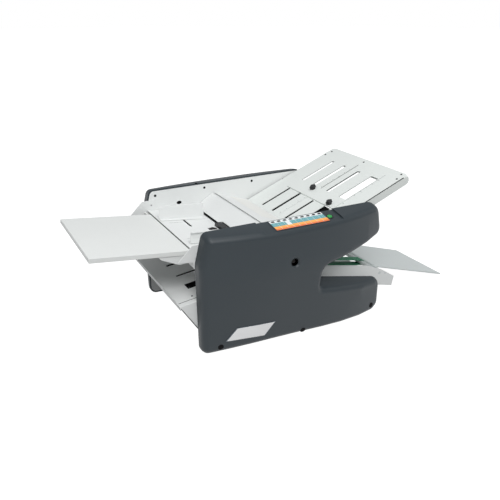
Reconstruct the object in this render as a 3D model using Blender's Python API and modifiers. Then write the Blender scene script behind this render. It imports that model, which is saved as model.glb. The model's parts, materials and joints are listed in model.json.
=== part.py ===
"""Paper folding machine: a desk machine that feeds a sheet through two fold tables onto a delivery conveyor.

Units are metres, +Z is up, the paper runs along +X and the control panel side faces -Y.
Positions below are given from the feed table's hinge line (X), the middle of the machine (Y) and the
desk (Z); the datum empty moves them all so that the origin is under the middle of the whole machine.
"""

import math

import bmesh
import bpy
from mathutils import Matrix, Vector

# Clearances between touching and moving pieces
SEAT_GAP = 0.0003
RUNNING_GAP = 0.0006
OVERRUN = 0.010
WELD_DISTANCE = 0.00001

# Side frames and body outline, seen from the side
FRAME_INNER_Y = 0.172
FRAME_THICKNESS = 0.0025
TIE_ROD_RADIUS = 0.003
BODY_LEFT = -0.0065
LEFT_KNEE_X = -0.0095
LEFT_KNEE_Z = 0.236
TOP_LEFT_X = 0.0085
BODY_TOP = 0.309
BODY_BOTTOM = 0.008
HORN_TOP_X = 0.481
HORN_RIGHT = 0.502
HORN_LOW = 0.228
THROAT_X = 0.297
THROAT_TOP = 0.1865
THROAT_LOW = 0.139
FOOT_RIGHT = 0.511
FOOT_TOP = 0.093
FOOT_BOTTOM = 0.003
TOP_LEFT_RADIUS = 0.016
LEFT_KNEE_RADIUS = 0.040
HORN_TOP_RADIUS = 0.030
HORN_LOW_RADIUS = 0.020
THROAT_TOP_RADIUS = 0.022
THROAT_LOW_RADIUS = 0.012
FOOT_TOP_RADIUS = 0.024
FOOT_LOW_RADIUS = 0.024
BOTTOM_LEFT_RADIUS = 0.020
CORNER_STEPS = 5
OVAL_HOLE_X = 0.092
OVAL_HOLE_Z = 0.263
OVAL_HOLE_LENGTH = 0.012
OVAL_HOLE_HEIGHT = 0.007

# Covers
COVER_DEPTH = 0.066
COVER_WALL = 0.004
COVER_ROUND = 0.014
CREASE_HEIGHT = 0.208
CREASE_ROLL = 0.022
CREASE_CUT_SHARES = (-1, -0.5, 0, 0.5, 1)
FOOT_CUT_SHARES = (0.25, 0.5, 0.75)
COVER_EDGE_DEPTH = 0.018
BOW_MIDDLE = 0.222
BOW_REACH = 0.276
BOW_STEPS = 9
TOP_FADE_SHARE = 0.15
FOOT_FADE_SHARE = 0.69
FOOT_FLARE_SHARE = 0.6
FOOT_FALL = math.radians(15)
BOW_LEFT_POWER = 2
BOW_RIGHT_POWER = 3
PANEL_TILT = math.radians(10.0)
PANEL_LEFT = 0.142
PANEL_RIGHT = 0.354
PANEL_DROP = 0.003
HAND_HOLE_RADIUS = 0.0095
HAND_HOLE_MOUTH_RADIUS = 0.0135
HAND_HOLE_FLARE = 0.0035
COVER_NOTCH_X = 0.145
COVER_NOTCH_SIZE = 0.008

# Control panel
LABEL_LEFT = 0.173
LABEL_RIGHT = 0.319
LABEL_NEAR = 0.003
LABEL_FAR = 0.0465
LABEL_THICKNESS = 0.0008
BUTTON_X = 0.3275
BUTTON_ACROSS = 0.029
BUTTON_RADIUS = 0.0065
BUTTON_HEIGHT = 0.003
BUTTON_FLANGE = 0.0095
BUTTON_FLANGE_THICKNESS = 0.002
BUTTON_CROWN_SHARE = 2 / 3
BUTTON_BEVEL_SHARE = 1 / 6

# Feed table
FEED_SLOPE = math.radians(6.5)
FEED_HINGE_HEIGHT = 0.255
SHEET_THICKNESS = 0.0015
FEED_TABLE_START = 0.0012
FEED_TABLE_END = 0.139
FEED_FLANGE_DEPTH = 0.0075
GUIDE_SLOT_X = 0.066
GUIDE_SLOT_WIDTH = 0.006
GUIDE_SLOT_INNER = 0.024
GUIDE_SLOT_OUTER = 0.112
EXTENSION_REACH = 0.233
EXTENSION_HALF_WIDTH = 0.137
EXTENSION_THICKNESS = 0.011
EXTENSION_ROD_RADIUS = 0.0025

# Extension brackets
BRACKET_SHEET = 0.002
BRACKET_WEB_Y = 0.134
BRACKET_REACH = 0.080
BRACKET_DROP = 0.225
BRACKET_FOOT_DROP = 0.241
BRACKET_TAB = 0.0115
BRACKET_PEAK = 0.281
BRACKET_BACK = 0.020
BRACKET_TOE = 0.008
BRACKET_NOSE_SHARE = 0.5
BRACKET_WEB_SHARE = 0.4

# Paper guides
FAR_GUIDE_Y = 0.087
NEAR_GUIDE_Y = 0.097
NEAR_GUIDE_START = 0.013
FAR_GUIDE_START = 0.004
GUIDE_END = 0.127
NEAR_GUIDE_TOP = 0.283
FAR_GUIDE_TOP = 0.289
GUIDE_FALL = 0.008
GUIDE_FOOT = 0.012
GUIDE_RIM = 0.006
GUIDE_TONGUE_DEPTH = 0.010

# Feed roller and separator
FEED_ROLLER_X = 0.112
FEED_ROLLER_RADIUS = 0.016
FEED_ROLLER_PROUD = 0.002
FEED_ROLLER_NEAR = -0.048
FEED_ROLLER_FAR = 0.003
FEED_WINDOW_MARGIN = 0.002
SEPARATOR_START = 0.126
SEPARATOR_END = 0.158
SEPARATOR_LIFT = 0.0152
SEPARATOR_THICKNESS = 0.006
SEPARATOR_STEP_X = 0.142
SEPARATOR_REAR_STEP = 0.003
SEPARATOR_REAR_DROP = 0.006
SEPARATOR_NEAR = -0.030
SEPARATOR_FAR = 0.015
SEPARATOR_ROD_X = 0.152
PAD_THICKNESS = 0.0017
PAD_LENGTH = 0.012

# Feed roller cover and top plate
COVER_EDGE_X = 0.141
COVER_EDGE_Z = 0.245
COVER_HINGE_X = 0.191
COVER_HINGE_Z = 0.274
COVER_KNUCKLE_RADIUS = 0.003
COVER_PIN_RADIUS = 0.0015
COVER_PANEL_THICKNESS = 0.002
COVER_SIDE_GAP = 0.0008
COVER_NOTCH_DEPTH = 0.008
TOP_PLATE_START = 0.1955
TOP_PLATE_START_Z = 0.2765
TOP_PLATE_END = 0.2975
TOP_PLATE_END_Z = 0.2425

# Chute between the feed table and the fold rollers
CHUTE_START = 0.1405
CHUTE_START_Z = 0.2358
CHUTE_END = 0.198
CHUTE_END_Z = 0.210

# Fold rollers: each next roller stands at an angle from the one before
FOLD_ROLLER_RADIUS = 0.0130
FOLD_ROLLER_PITCH = 0.0264
FOLD_ROLLER_HALF_LENGTH = 0.166
FIRST_ROLLER_X = 0.214
FIRST_ROLLER_Z = 0.219
ROLLER_STEP_ANGLES = (math.radians(-68.0), math.radians(-35.0), math.radians(-125.0))
SHAFT_RADIUS = 0.005
ROUND_STEPS = 16
SMALL_ROUND_STEPS = 12
END_STEPS = 6
HEXAGON_STEPS = 6

# Gears, pulleys and belts beside the frames
GEAR_TEETH = 18
GEAR_ADDENDUM = 0.0010
GEAR_DEDENDUM = 0.0013
GEAR_WIDTH = 0.008
GEAR_START_Y = 0.1762
TOOTH_TIP_SHARE = 0.20
TOOTH_ROOT_SHARE = 0.46
PULLEY_START_Y = 0.187
PULLEY_WIDTH = 0.009
MOTOR_PULLEY_RADIUS = 0.009
DRIVEN_PULLEY_RADIUS = 0.020
BELT_THICKNESS = 0.0018
FAR_BELT_Y = 0.179
FAR_BELT_WIDTH = 0.008
FEED_BELT_Y = 0.190
HAND_SHAFT_END = 0.227

# Motor
MOTOR_X = 0.150
MOTOR_Z = 0.070
MOTOR_RADIUS = 0.036
MOTOR_LENGTH = 0.095
MOTOR_SHAFT_RADIUS = 0.004
MOTOR_HOLE_RADIUS = 0.009
MOTOR_COLLAR = 0.0045
MOTOR_STEPS = 24

# Upper fold table
UPPER_DATUM_X = 0.4733
UPPER_DATUM_Z = 0.3104
UPPER_SLOPE = math.radians(22.0)
UPPER_START = -0.250
UPPER_END = 0.130
UPPER_HALF_WIDTH = 0.1665
UPPER_CORNER = 0.012
PAPER_GAP = 0.003
UPPER_FLANGE_DEPTH = 0.021
TABLE_SLOT_START = -0.176
TABLE_SLOT_END = 0.078
TABLE_WINDOW_START = -0.078
TABLE_WINDOW_EXTRA = 0.010
TABLE_SLOT_Y = (0.097, 0.042, -0.026, -0.091)
TABLE_SLOT_WIDTH = (0.008, 0.010, 0.008, 0.028)
TABLE_SLOT_CORNER = 0.0015
SCALE_SLIT_Y = 0.006
SCALE_SLIT_WIDTH = 0.0012
SCALE_SLIT_END = 0.100
UPPER_ROD_PLACES = (-0.232, -0.040)
UPPER_ROD_DROP = 0.0125

# Paper stops
STOP_LOW = -0.080
STOP_HIGH = -0.036
STOP_NEAR = -0.112
STOP_FAR = 0.110
STOP_THICKNESS = 0.003
FIN_THICKNESS = 0.006
KNOB_RADIUS = 0.0065
KNOB_HEIGHT = 0.011
KNOB_STEM_RADIUS = 0.002
KNOB_STEM_LENGTH = 0.0022
KNOB_BEVEL = 0.0011
KNOB_WING_REACH = 0.0091
KNOB_WING_WIDTH = 0.0033
UPPER_KNOB_1_S = -0.049
UPPER_KNOB_1_Y = 0.020
UPPER_KNOB_2_S = -0.071
UPPER_KNOB_2_Y = -0.088

# Lower fold table
LOWER_DATUM_X = -0.0485
LOWER_DATUM_Z = 0.138
LOWER_SLOPE = math.radians(7.5)
LOWER_LENGTH = 0.260
LOWER_HALF_WIDTH = 0.155
LOWER_SLOT_START = 0.048
LOWER_SLOT_END = 0.215
LOWER_LIP_DEPTH = 0.010
LOWER_STOP_START = 0.125
LOWER_STOP_LENGTH = 0.036
LOWER_STOP_NEAR = -0.128
LOWER_SKIRT_X = 0.001
LOWER_SKIRT_Z = 0.063
LOWER_SKIRT_REAR_X = 0.092
LOWER_SKIRT_REAR_Z = 0.118
LOWER_SKIRT_HEEL_X = 0.046
LOWER_TAIL_DEPTH = 0.040
LOWER_KNOB_Y = 0.008

# Delivery conveyor
EXIT_SLOPE = math.radians(12.0)
EXIT_DATUM_X = 0.493
EXIT_DATUM_Z = 0.104
EXIT_DRIVE_X = 0.265
EXIT_END_X = 0.540
EXIT_ROLLER_RADIUS = 0.006
EXIT_SHAFT_RADIUS = 0.004
EXIT_BELT_THICKNESS = 0.0012
EXIT_BELT_WIDTH = 0.026
EXIT_BELT_Y = 0.060
RAIL_Y = 0.149
RAIL_THICKNESS = 0.002
RAIL_START = 0.300
RAIL_TOP_END = 0.493
RAIL_LIFT = 0.014
RAIL_DROP = 0.044
RAIL_KNEE = 0.549
RAIL_TIP_X = 0.592
RAIL_TIP_Z = 0.066
RAIL_TOE_X = 0.587
RAIL_TOE_Z = 0.038
BED_DROP = 0.019
BED_END = 0.530
CONVEYOR_ROD_PLACES = (0.345, 0.465)
CONVEYOR_ROD_DROP = 0.0255

# Exit extension
EXIT_EXTENSION_END = 0.822
EXIT_EXTENSION_SLOPE = math.radians(17.0)
EXIT_EXTENSION_REST = 0.0004
EXIT_EXTENSION_HALF_WIDTH = 0.102
EXIT_EXTENSION_THICKNESS = 0.003
EXIT_HINGE_X = 0.560
EXIT_HINGE_RADIUS = 0.0025
EXIT_KNUCKLE_RADIUS = 0.005
EXIT_EXTENSION_CORNER = 0.003

# Base, feet and electrics
PAN_BOTTOM = 0.0103
PAN_THICKNESS = 0.002
PAN_LEFT = 0.0315
PAN_RIGHT = 0.470
FEET_X = (0.045, 0.445)
FEET_Y = 0.150
FOOT_RADIUS = 0.012
FOOT_BOTTOM_RADIUS = 0.010
INLET_X = 0.300
INLET_Z = 0.045
INLET_WIDTH = 0.030
INLET_HEIGHT = 0.022
INLET_DEPTH = 0.024
INLET_WALL = 0.003
INLET_SOCKET_DEPTH = 0.016
INLET_PIN_PITCH = 0.0075
INLET_PIN_THICKNESS = 0.002
INLET_PIN_HEIGHT = 0.006
INLET_PIN_LENGTH = 0.010

MACHINE_CENTRE = (EXIT_EXTENSION_END - EXTENSION_REACH) / 2
SHAFT_REACH = FRAME_INNER_Y + FRAME_THICKNESS + SEAT_GAP
EXIT_HINGE_Z = EXIT_EXTENSION_REST + EXIT_EXTENSION_THICKNESS * math.cos(EXIT_EXTENSION_SLOPE) / 2 + (
    EXIT_EXTENSION_END - EXIT_HINGE_X) * math.tan(EXIT_EXTENSION_SLOPE)

NEAR = -1
FAR = 1

WHITE = ((0.80, 0.81, 0.80), 0.45, 0.0)
PALE = ((0.70, 0.71, 0.72), 0.45, 0.0)
SLATE = ((0.075, 0.090, 0.105), 0.42, 0.0)
DARK = ((0.02, 0.02, 0.022), 0.5, 0.0)
RUBBER = ((0.03, 0.03, 0.03), 0.8, 0.0)
STEEL = ((0.60, 0.61, 0.62), 0.3, 1.0)
BRASS = ((0.62, 0.48, 0.22), 0.35, 1.0)
GREEN = ((0.02, 0.26, 0.15), 0.6, 0.0)
BUTTON_GREEN = ((0.05, 0.45, 0.15), 0.35, 0.0)


def clear_scene():
    for obj in list(bpy.data.objects):
        bpy.data.objects.remove(obj, do_unlink=True)


def make_collection(name):
    collection = bpy.data.collections.new(name)
    bpy.context.scene.collection.children.link(collection)
    return collection


clear_scene()
PARTS = make_collection("paper_folding_machine")
CUTTERS = make_collection("cutters")
DATUM = bpy.data.objects.new("machine_datum", None)
DATUM.location = (-MACHINE_CENTRE, 0, 0)
PARTS.objects.link(DATUM)


def material(name, finish):
    colour, roughness, metallic = finish
    mat = bpy.data.materials.new(name)
    mat.use_nodes = True
    shader = mat.node_tree.nodes["Principled BSDF"]
    shader.inputs["Base Color"].default_value = (*colour, 1)
    shader.inputs["Roughness"].default_value = roughness
    shader.inputs["Metallic"].default_value = metallic
    mat.diffuse_color = (*colour, 1)
    return mat


def add(name, data, finish=None, place=None):
    """Links a mesh or curve under the datum; without a finish it is a cutter."""
    obj = bpy.data.objects.new(name, data)
    obj.parent = DATUM
    if finish is None:
        CUTTERS.objects.link(obj)
        obj.hide_render = True
        obj.display_type = "WIRE"
    else:
        PARTS.objects.link(obj)
        data.materials.append(material(name, finish))
    if place is not None:
        obj.matrix_local = place
    return obj


# Outline helpers

def circle(x, y, radius, steps=ROUND_STEPS):
    turn = 2 * math.pi / steps
    return [(x + radius * math.cos(i * turn), y + radius * math.sin(i * turn)) for i in range(steps)]


def rectangle(left, low, right, high):
    return [(left, low), (right, low), (right, high), (left, high)]


def round_slot(left, right, middle, width, steps=4):
    """A slot along the first axis with half-round ends."""
    half = width / 2
    turn = math.pi / steps
    arc = [(half * math.sin(i * turn), half * math.cos(i * turn)) for i in range(steps + 1)]
    end = [(right - half + along, middle - across) for along, across in arc]
    start = [(left + half - along, middle + across) for along, across in arc]
    return end + start


def rounded(corners, steps=CORNER_STEPS):
    """Turns (x, z, radius) corners into points, with an arc at each corner."""
    points = []
    count = len(corners)
    for i, (x, z, radius) in enumerate(corners):
        here = Vector((x, z))
        before = (Vector(corners[i - 1][:2]) - here).normalized()
        after = (Vector(corners[(i + 1) % count][:2]) - here).normalized()
        if radius <= 0:
            points.append((x, z))
            continue
        half_angle = before.angle(after) / 2
        centre = here + (before + after).normalized() * radius / math.sin(half_angle)
        first = here + before * radius / math.tan(half_angle) - centre
        last = here + after * radius / math.tan(half_angle) - centre
        sweep = first.angle_signed(last)
        for step in range(steps + 1):
            turn = Matrix.Rotation(-sweep * step / steps, 2)
            points.append(tuple(centre + turn @ first))
    return points


def inset(corners, depth):
    """Moves a clockwise outline of rounded corners inward by a depth."""
    result = []
    count = len(corners)
    for i, (x, z, radius) in enumerate(corners):
        here = Vector((x, z))
        arriving = (here - Vector(corners[i - 1][:2])).normalized()
        leaving = (Vector(corners[(i + 1) % count][:2]) - here).normalized()
        normal_in = Vector((arriving.y, -arriving.x))
        normal_out = Vector((leaving.y, -leaving.x))
        bisector = (normal_in + normal_out).normalized()
        moved = here + bisector * depth / bisector.dot(normal_in)
        turns_right = arriving.x * leaving.y - arriving.y * leaving.x < 0
        new_radius = radius - depth if turns_right else radius + depth
        result.append((moved.x, moved.y, max(new_radius, SEAT_GAP)))
    return result


# Shape helpers

SIDE_VIEW = Matrix.Rotation(math.radians(90), 4, "X")


def side_place(middle_y):
    """A plate drawn in X and Z, standing at a place along Y."""
    return Matrix.Translation((0, middle_y, 0)) @ SIDE_VIEW


def slope_place(x, z, slope):
    """A frame whose X runs up a slope and whose Z is the slope's normal."""
    return Matrix.Translation((x, 0, z)) @ Matrix.Rotation(-slope, 4, "Y")


def plate(name, outline, thickness, place, finish=None, holes=()):
    """A flat outline with holes, as a filled curve extruded to its thickness."""
    curve = bpy.data.curves.new(name, "CURVE")
    curve.dimensions = "2D"
    curve.fill_mode = "BOTH"
    curve.extrude = thickness / 2
    for loop in [outline, *holes]:
        spline = curve.splines.new("POLY")
        spline.points.add(len(loop) - 1)
        for point, (x, y) in zip(spline.points, loop):
            point.co = (x, y, 0, 1)
        spline.use_cyclic_u = True
    obj = add(name, curve, finish, place)
    return as_mesh(obj)


def as_mesh(obj):
    """Replaces a curve object by a welded mesh, in the same place."""
    bpy.context.view_layer.update()
    source = obj.evaluated_get(bpy.context.evaluated_depsgraph_get())
    mesh = bpy.data.meshes.new_from_object(source)
    shape = bmesh.new()
    shape.from_mesh(mesh)
    bmesh.ops.remove_doubles(shape, verts=shape.verts, dist=WELD_DISTANCE)
    bmesh.ops.recalc_face_normals(shape, faces=shape.faces)
    shape.to_mesh(mesh)
    shape.free()
    name = obj.name
    collection = obj.users_collection[0]
    mesh.materials.clear()
    for mat in obj.data.materials:
        mesh.materials.append(mat)
    local = obj.matrix_local.copy()
    hidden = obj.hide_render
    bpy.data.objects.remove(obj, do_unlink=True)
    made = bpy.data.objects.new(name, mesh)
    made.parent = DATUM
    made.matrix_local = local
    made.hide_render = hidden
    if hidden:
        made.display_type = "WIRE"
    collection.objects.link(made)
    return made


def box(name, low, high, finish=None, place=None):
    """A block between two corners, its mesh set about its own middle."""
    shape = bmesh.new()
    bmesh.ops.create_cube(shape, size=1)
    size = [b - a for a, b in zip(low, high)]
    middle = [(a + b) / 2 for a, b in zip(low, high)]
    bmesh.ops.scale(shape, vec=size, verts=shape.verts)
    mesh = bpy.data.meshes.new(name)
    shape.to_mesh(mesh)
    shape.free()
    base = place if place is not None else Matrix.Identity(4)
    return add(name, mesh, finish, base @ Matrix.Translation(middle))


def turned(name, profile, place, finish=None, steps=ROUND_STEPS, closed=False):
    """Turns a profile of (radius, height) pairs, listed from the top down its outer side, about Z."""
    mesh = bpy.data.meshes.new(name)
    count = len(profile)
    edges = [(i, i + 1) for i in range(count - 1)]
    if closed:
        edges.append((count - 1, 0))
    mesh.from_pydata([(radius, 0, height) for radius, height in profile], edges, [])
    obj = add(name, mesh, finish, place)
    screw = obj.modifiers.new("turn", "SCREW")
    screw.steps = steps
    screw.render_steps = steps
    screw.use_merge_vertices = True
    screw.merge_threshold = WELD_DISTANCE
    screw.use_smooth_shade = True
    return obj


def along_y(x, z, y=0):
    """Places a turned piece's axis along -Y, at a point of the side view."""
    return Matrix.Translation((x, y, z)) @ SIDE_VIEW


def rod(name, x, z, near, far, radius, finish=None, steps=ROUND_STEPS):
    """A plain rod along Y from its near end to its far end."""
    profile = [(0, -near), (radius, -near), (radius, -far), (0, -far)]
    return turned(name, profile, along_y(x, z), finish, steps)


def combine(target, tool, operation):
    modifier = target.modifiers.new(tool.name, "BOOLEAN")
    modifier.operation = operation
    modifier.solver = "EXACT"
    modifier.object = tool


def cut(target, *tools):
    for tool in tools:
        combine(target, tool, "DIFFERENCE")


def join(target, *tools):
    for tool in tools:
        combine(target, tool, "UNION")


# Body outline, clockwise from the top left corner

BODY_CORNERS = [
    (TOP_LEFT_X, BODY_TOP, TOP_LEFT_RADIUS),
    (HORN_TOP_X, BODY_TOP, HORN_TOP_RADIUS),
    (HORN_RIGHT, HORN_LOW, HORN_LOW_RADIUS),
    (THROAT_X, THROAT_TOP, THROAT_TOP_RADIUS),
    (THROAT_X, THROAT_LOW, THROAT_LOW_RADIUS),
    (FOOT_RIGHT, FOOT_TOP, FOOT_TOP_RADIUS),
    (FOOT_RIGHT, FOOT_BOTTOM, FOOT_LOW_RADIUS),
    (BODY_LEFT, BODY_BOTTOM, BOTTOM_LEFT_RADIUS),
    (LEFT_KNEE_X, LEFT_KNEE_Z, LEFT_KNEE_RADIUS),
]


def crease_share(x, z):
    """How full the cover's bulge is at a height: it fades both ways from a softly rolled crease."""
    rear_share = min(1, max(0, (x - BOW_MIDDLE) / BOW_REACH))
    foot_fade = FOOT_FADE_SHARE * (1 - FOOT_FLARE_SHARE * rear_share)
    above = TOP_FADE_SHARE / (BODY_TOP - CREASE_HEIGHT)
    below = foot_fade / (CREASE_HEIGHT - BODY_BOTTOM)
    rise = z - CREASE_HEIGHT
    if rise >= CREASE_ROLL:
        return 1 - above * rise
    if rise <= -CREASE_ROLL:
        return 1 + below * rise
    curve = (above + below) * (CREASE_ROLL + rise * rise / CREASE_ROLL) / 4
    return 1 - curve + (below - above) * rise / 2


def cover_depth_at(x, z):
    """Depth of a cover's outer face, which bows outward between its two ends."""
    power = BOW_LEFT_POWER if x < BOW_MIDDLE else BOW_RIGHT_POWER
    bow = max(0, 1 - (abs(x - BOW_MIDDLE) / BOW_REACH) ** power)
    return COVER_EDGE_DEPTH + (COVER_DEPTH - COVER_EDGE_DEPTH) * bow * crease_share(x, z)


def outward_fall(x, z):
    """How steeply a cover drops outward: near its top, and along the top of its rear foot."""
    top_share = max(0, (z - CREASE_HEIGHT) / (BODY_TOP - CREASE_HEIGHT))
    rear_share = min(1, max(0, (x - BOW_MIDDLE) / (THROAT_X - BOW_MIDDLE)))
    under_share = (z - BODY_BOTTOM) / (THROAT_LOW - BODY_BOTTOM)
    over_share = (THROAT_TOP - z) / (THROAT_TOP - THROAT_LOW)
    foot_share = max(0, min(under_share, over_share)) * rear_share
    return math.tan(PANEL_TILT) * top_share + math.tan(FOOT_FALL) * foot_share


def shape_cover(shape, side):
    """Bows a cover's straight body and lets its top fall away outward."""
    frame_clear = FRAME_THICKNESS + SEAT_GAP * 2
    step = 2 * BOW_REACH / BOW_STEPS
    cuts = [((BOW_MIDDLE - BOW_REACH + i * step, 0, 0), (1, 0, 0)) for i in range(1, BOW_STEPS)]
    cuts += [((0, 0, CREASE_HEIGHT + CREASE_ROLL * share), (0, 0, 1)) for share in CREASE_CUT_SHARES]
    low_cut = CREASE_HEIGHT - CREASE_ROLL
    cuts += [((0, 0, BODY_BOTTOM + (low_cut - BODY_BOTTOM) * share), (0, 0, 1)) for share in FOOT_CUT_SHARES]
    for point, normal in cuts:
        pieces = [*shape.verts, *shape.edges, *shape.faces]
        bmesh.ops.bisect_plane(shape, geom=pieces, dist=WELD_DISTANCE, plane_co=point, plane_no=normal)
    for vert in shape.verts:
        x, y, z = vert.co
        if abs(y) > FRAME_INNER_Y + frame_clear + WELD_DISTANCE:
            reach = abs(y) - COVER_DEPTH + cover_depth_at(x, z)
            fall = (reach - FRAME_INNER_Y - frame_clear) * outward_fall(x, z)
            vert.co = (x, side * reach, z - fall)
    bmesh.ops.triangulate(shape, faces=shape.faces)


def cover_shell(name, side, corners, wall, radius, start_y, arc_steps, finish=None):
    """Lofts a cover's body from the frame outward: side walls, a rounded rim and a bowed face."""
    shape = bmesh.new()
    rings = []
    turns = [i * math.pi / 2 / arc_steps for i in range(arc_steps + 1)]
    rim = FRAME_INNER_Y + COVER_DEPTH - wall
    sections = [(0, start_y), (0, FRAME_INNER_Y + FRAME_THICKNESS + SEAT_GAP * 2)]
    sections += [(radius * (1 - math.cos(turn)), rim - radius * (1 - math.sin(turn))) for turn in turns]
    for depth, reach in sections:
        outline = rounded(inset(corners, depth))
        rings.append([shape.verts.new((x, side * reach, z)) for x, z in outline])
    for inner, outer in zip(rings, rings[1:]):
        for i in range(len(inner)):
            j = (i + 1) % len(inner)
            shape.faces.new((inner[i], inner[j], outer[j], outer[i]))
    shape.faces.new(rings[0])
    shape.faces.new(rings[-1])
    bmesh.ops.recalc_face_normals(shape, faces=shape.faces)
    shape_cover(shape, side)
    mesh = bpy.data.meshes.new(name)
    shape.to_mesh(mesh)
    shape.free()
    return add(name, mesh, finish)


PANEL_EDGE = Matrix.Translation((0, -FRAME_INNER_Y, BODY_TOP - PANEL_DROP))
PANEL_PLACE = PANEL_EDGE @ Matrix.Rotation(PANEL_TILT, 4, "X")


def panel_cutter(name, margin, lower, start):
    """The tilted block above the control panel's sloping floor."""
    reach = (COVER_DEPTH + OVERRUN) / math.cos(PANEL_TILT)
    corners = [
        (PANEL_LEFT - margin, start, 0),
        (PANEL_RIGHT + margin, start, 0),
        (PANEL_RIGHT + margin, -reach, 0),
        (PANEL_LEFT - margin, -reach, 0),
    ]
    height = COVER_DEPTH / 2
    place = PANEL_PLACE @ Matrix.Translation((0, 0, height / 2 - lower))
    return plate(name, rounded(corners), height, place)


def make_hand_hole():
    """A hole with a flared mouth, in line with the first fold roller."""
    face = FRAME_INNER_Y + cover_depth_at(FIRST_ROLLER_X, FIRST_ROLLER_Z)
    mouth = HAND_HOLE_MOUTH_RADIUS
    inside = face - COVER_WALL - HAND_HOLE_FLARE / 2
    profile = [(0, face + OVERRUN), (mouth, face + OVERRUN), (mouth, face),
               (HAND_HOLE_RADIUS, face - HAND_HOLE_FLARE), (HAND_HOLE_RADIUS, inside), (0, inside)]
    return turned("hand_hole_cut", profile, along_y(FIRST_ROLLER_X, FIRST_ROLLER_Z))


def make_covers():
    inner_corners = inset(BODY_CORNERS, COVER_WALL)
    for side, name in ((FAR, "far_cover"), (NEAR, "near_cover")):
        cover = cover_shell(name, side, BODY_CORNERS, 0, COVER_ROUND, FRAME_INNER_Y, 4, SLATE)
        hollow = cover_shell(name + "_hollow", side, inner_corners, COVER_WALL,
                             COVER_ROUND - COVER_WALL, FRAME_INNER_Y - OVERRUN, 2)
        if side == NEAR:
            behind_frame = -FRAME_THICKNESS - SEAT_GAP - COVER_WALL * math.tan(PANEL_TILT)
            cut(hollow, panel_cutter("panel_floor_cut", COVER_WALL, COVER_WALL, behind_frame))
        cut(cover, hollow)
        if side == NEAR:
            hand_hole = make_hand_hole()
            button_hole = turned("button_hole_cut", button_profile(SEAT_GAP + RUNNING_GAP, OVERRUN),
                                 button_place())
            cut(cover, panel_cutter("panel_cut", 0, 0, OVERRUN), hand_hole, button_hole)
        else:
            half = COVER_NOTCH_SIZE / 2
            notch_low = (COVER_NOTCH_X - half, FRAME_INNER_Y - OVERRUN, BODY_TOP - COVER_WALL / 2)
            notch_high = (COVER_NOTCH_X + half, FRAME_INNER_Y + half, BODY_TOP + OVERRUN)
            notch = box("far_notch_cut", notch_low, notch_high)
            half_width = INLET_WIDTH / 2 + SEAT_GAP
            half_height = INLET_HEIGHT / 2 + SEAT_GAP
            window = box("inlet_cut", (INLET_X - half_width, FRAME_INNER_Y + OVERRUN, INLET_Z - half_height),
                         (INLET_X + half_width, FRAME_INNER_Y + COVER_DEPTH, INLET_Z + half_height))
            cut(cover, notch, window)


def button_place():
    return PANEL_PLACE @ Matrix.Translation((BUTTON_X, -BUTTON_ACROSS, 0))


def button_profile(gap, overrun):
    radius = BUTTON_RADIUS + gap
    return [(0, overrun), (radius, overrun), (radius, -COVER_WALL - overrun), (0, -COVER_WALL - overrun)]


def make_panel():
    label = rectangle(LABEL_LEFT, -LABEL_FAR, LABEL_RIGHT, -LABEL_NEAR)
    lift = SEAT_GAP + LABEL_THICKNESS / 2
    plate("control_panel_plate", label, LABEL_THICKNESS, PANEL_PLACE @ Matrix.Translation((0, 0, lift)), PALE)
    shoulder = -COVER_WALL - SEAT_GAP
    bottom = shoulder - BUTTON_FLANGE_THICKNESS
    crown = BUTTON_HEIGHT - BUTTON_RADIUS * BUTTON_BEVEL_SHARE
    profile = [(0, BUTTON_HEIGHT), (BUTTON_RADIUS * BUTTON_CROWN_SHARE, BUTTON_HEIGHT),
               (BUTTON_RADIUS, crown), (BUTTON_RADIUS, shoulder), (BUTTON_FLANGE, shoulder),
               (BUTTON_FLANGE, bottom), (0, bottom)]
    turned("start_button", profile, button_place(), BUTTON_GREEN)


# Shaft places, in the side view

def roller_places():
    places = [(FIRST_ROLLER_X, FIRST_ROLLER_Z)]
    for angle in ROLLER_STEP_ANGLES:
        x, z = places[-1]
        places.append((x + FOLD_ROLLER_PITCH * math.cos(angle), z + FOLD_ROLLER_PITCH * math.sin(angle)))
    return places


def exit_height(x):
    """Height of the delivery belts' upper side."""
    return EXIT_DATUM_Z - (x - EXIT_DATUM_X) * math.tan(EXIT_SLOPE)


def exit_roller_height(x):
    return exit_height(x) - (EXIT_ROLLER_RADIUS + SEAT_GAP + EXIT_BELT_THICKNESS) / math.cos(EXIT_SLOPE)


def feed_height(x):
    return FEED_HINGE_HEIGHT - x * math.tan(FEED_SLOPE)


ROLLERS = roller_places()
FEED_ROLLER_Z = feed_height(FEED_ROLLER_X) + FEED_ROLLER_PROUD - FEED_ROLLER_RADIUS
SEPARATOR_UNDER = FEED_ROLLER_Z + SEPARATOR_LIFT
SEPARATOR_TOP = SEPARATOR_UNDER + SEPARATOR_THICKNESS
SEPARATOR_REAR_TOP = SEPARATOR_TOP - SEPARATOR_REAR_STEP
SEPARATOR_REAR_UNDER = SEPARATOR_UNDER - SEPARATOR_REAR_DROP
SEPARATOR_ROD_Z = (SEPARATOR_REAR_TOP + SEPARATOR_REAR_UNDER) / 2
DRIVE_ROLLER = (EXIT_DRIVE_X, exit_roller_height(EXIT_DRIVE_X))
END_ROLLER = (EXIT_END_X, exit_roller_height(EXIT_END_X))
SHAFTS = ROLLERS + [(FEED_ROLLER_X, FEED_ROLLER_Z), DRIVE_ROLLER]


def upper_rod_points():
    place = slope_place(UPPER_DATUM_X, UPPER_DATUM_Z, UPPER_SLOPE)
    points = [place @ Vector((s, 0, -UPPER_ROD_DROP)) for s in UPPER_ROD_PLACES]
    return [(point.x, point.z) for point in points]


def conveyor_rod_points():
    return [(x, exit_height(x) - CONVEYOR_ROD_DROP) for x in CONVEYOR_ROD_PLACES]


def tie_rod_points():
    return upper_rod_points() + conveyor_rod_points() + [(SEPARATOR_ROD_X, SEPARATOR_ROD_Z)]


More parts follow.
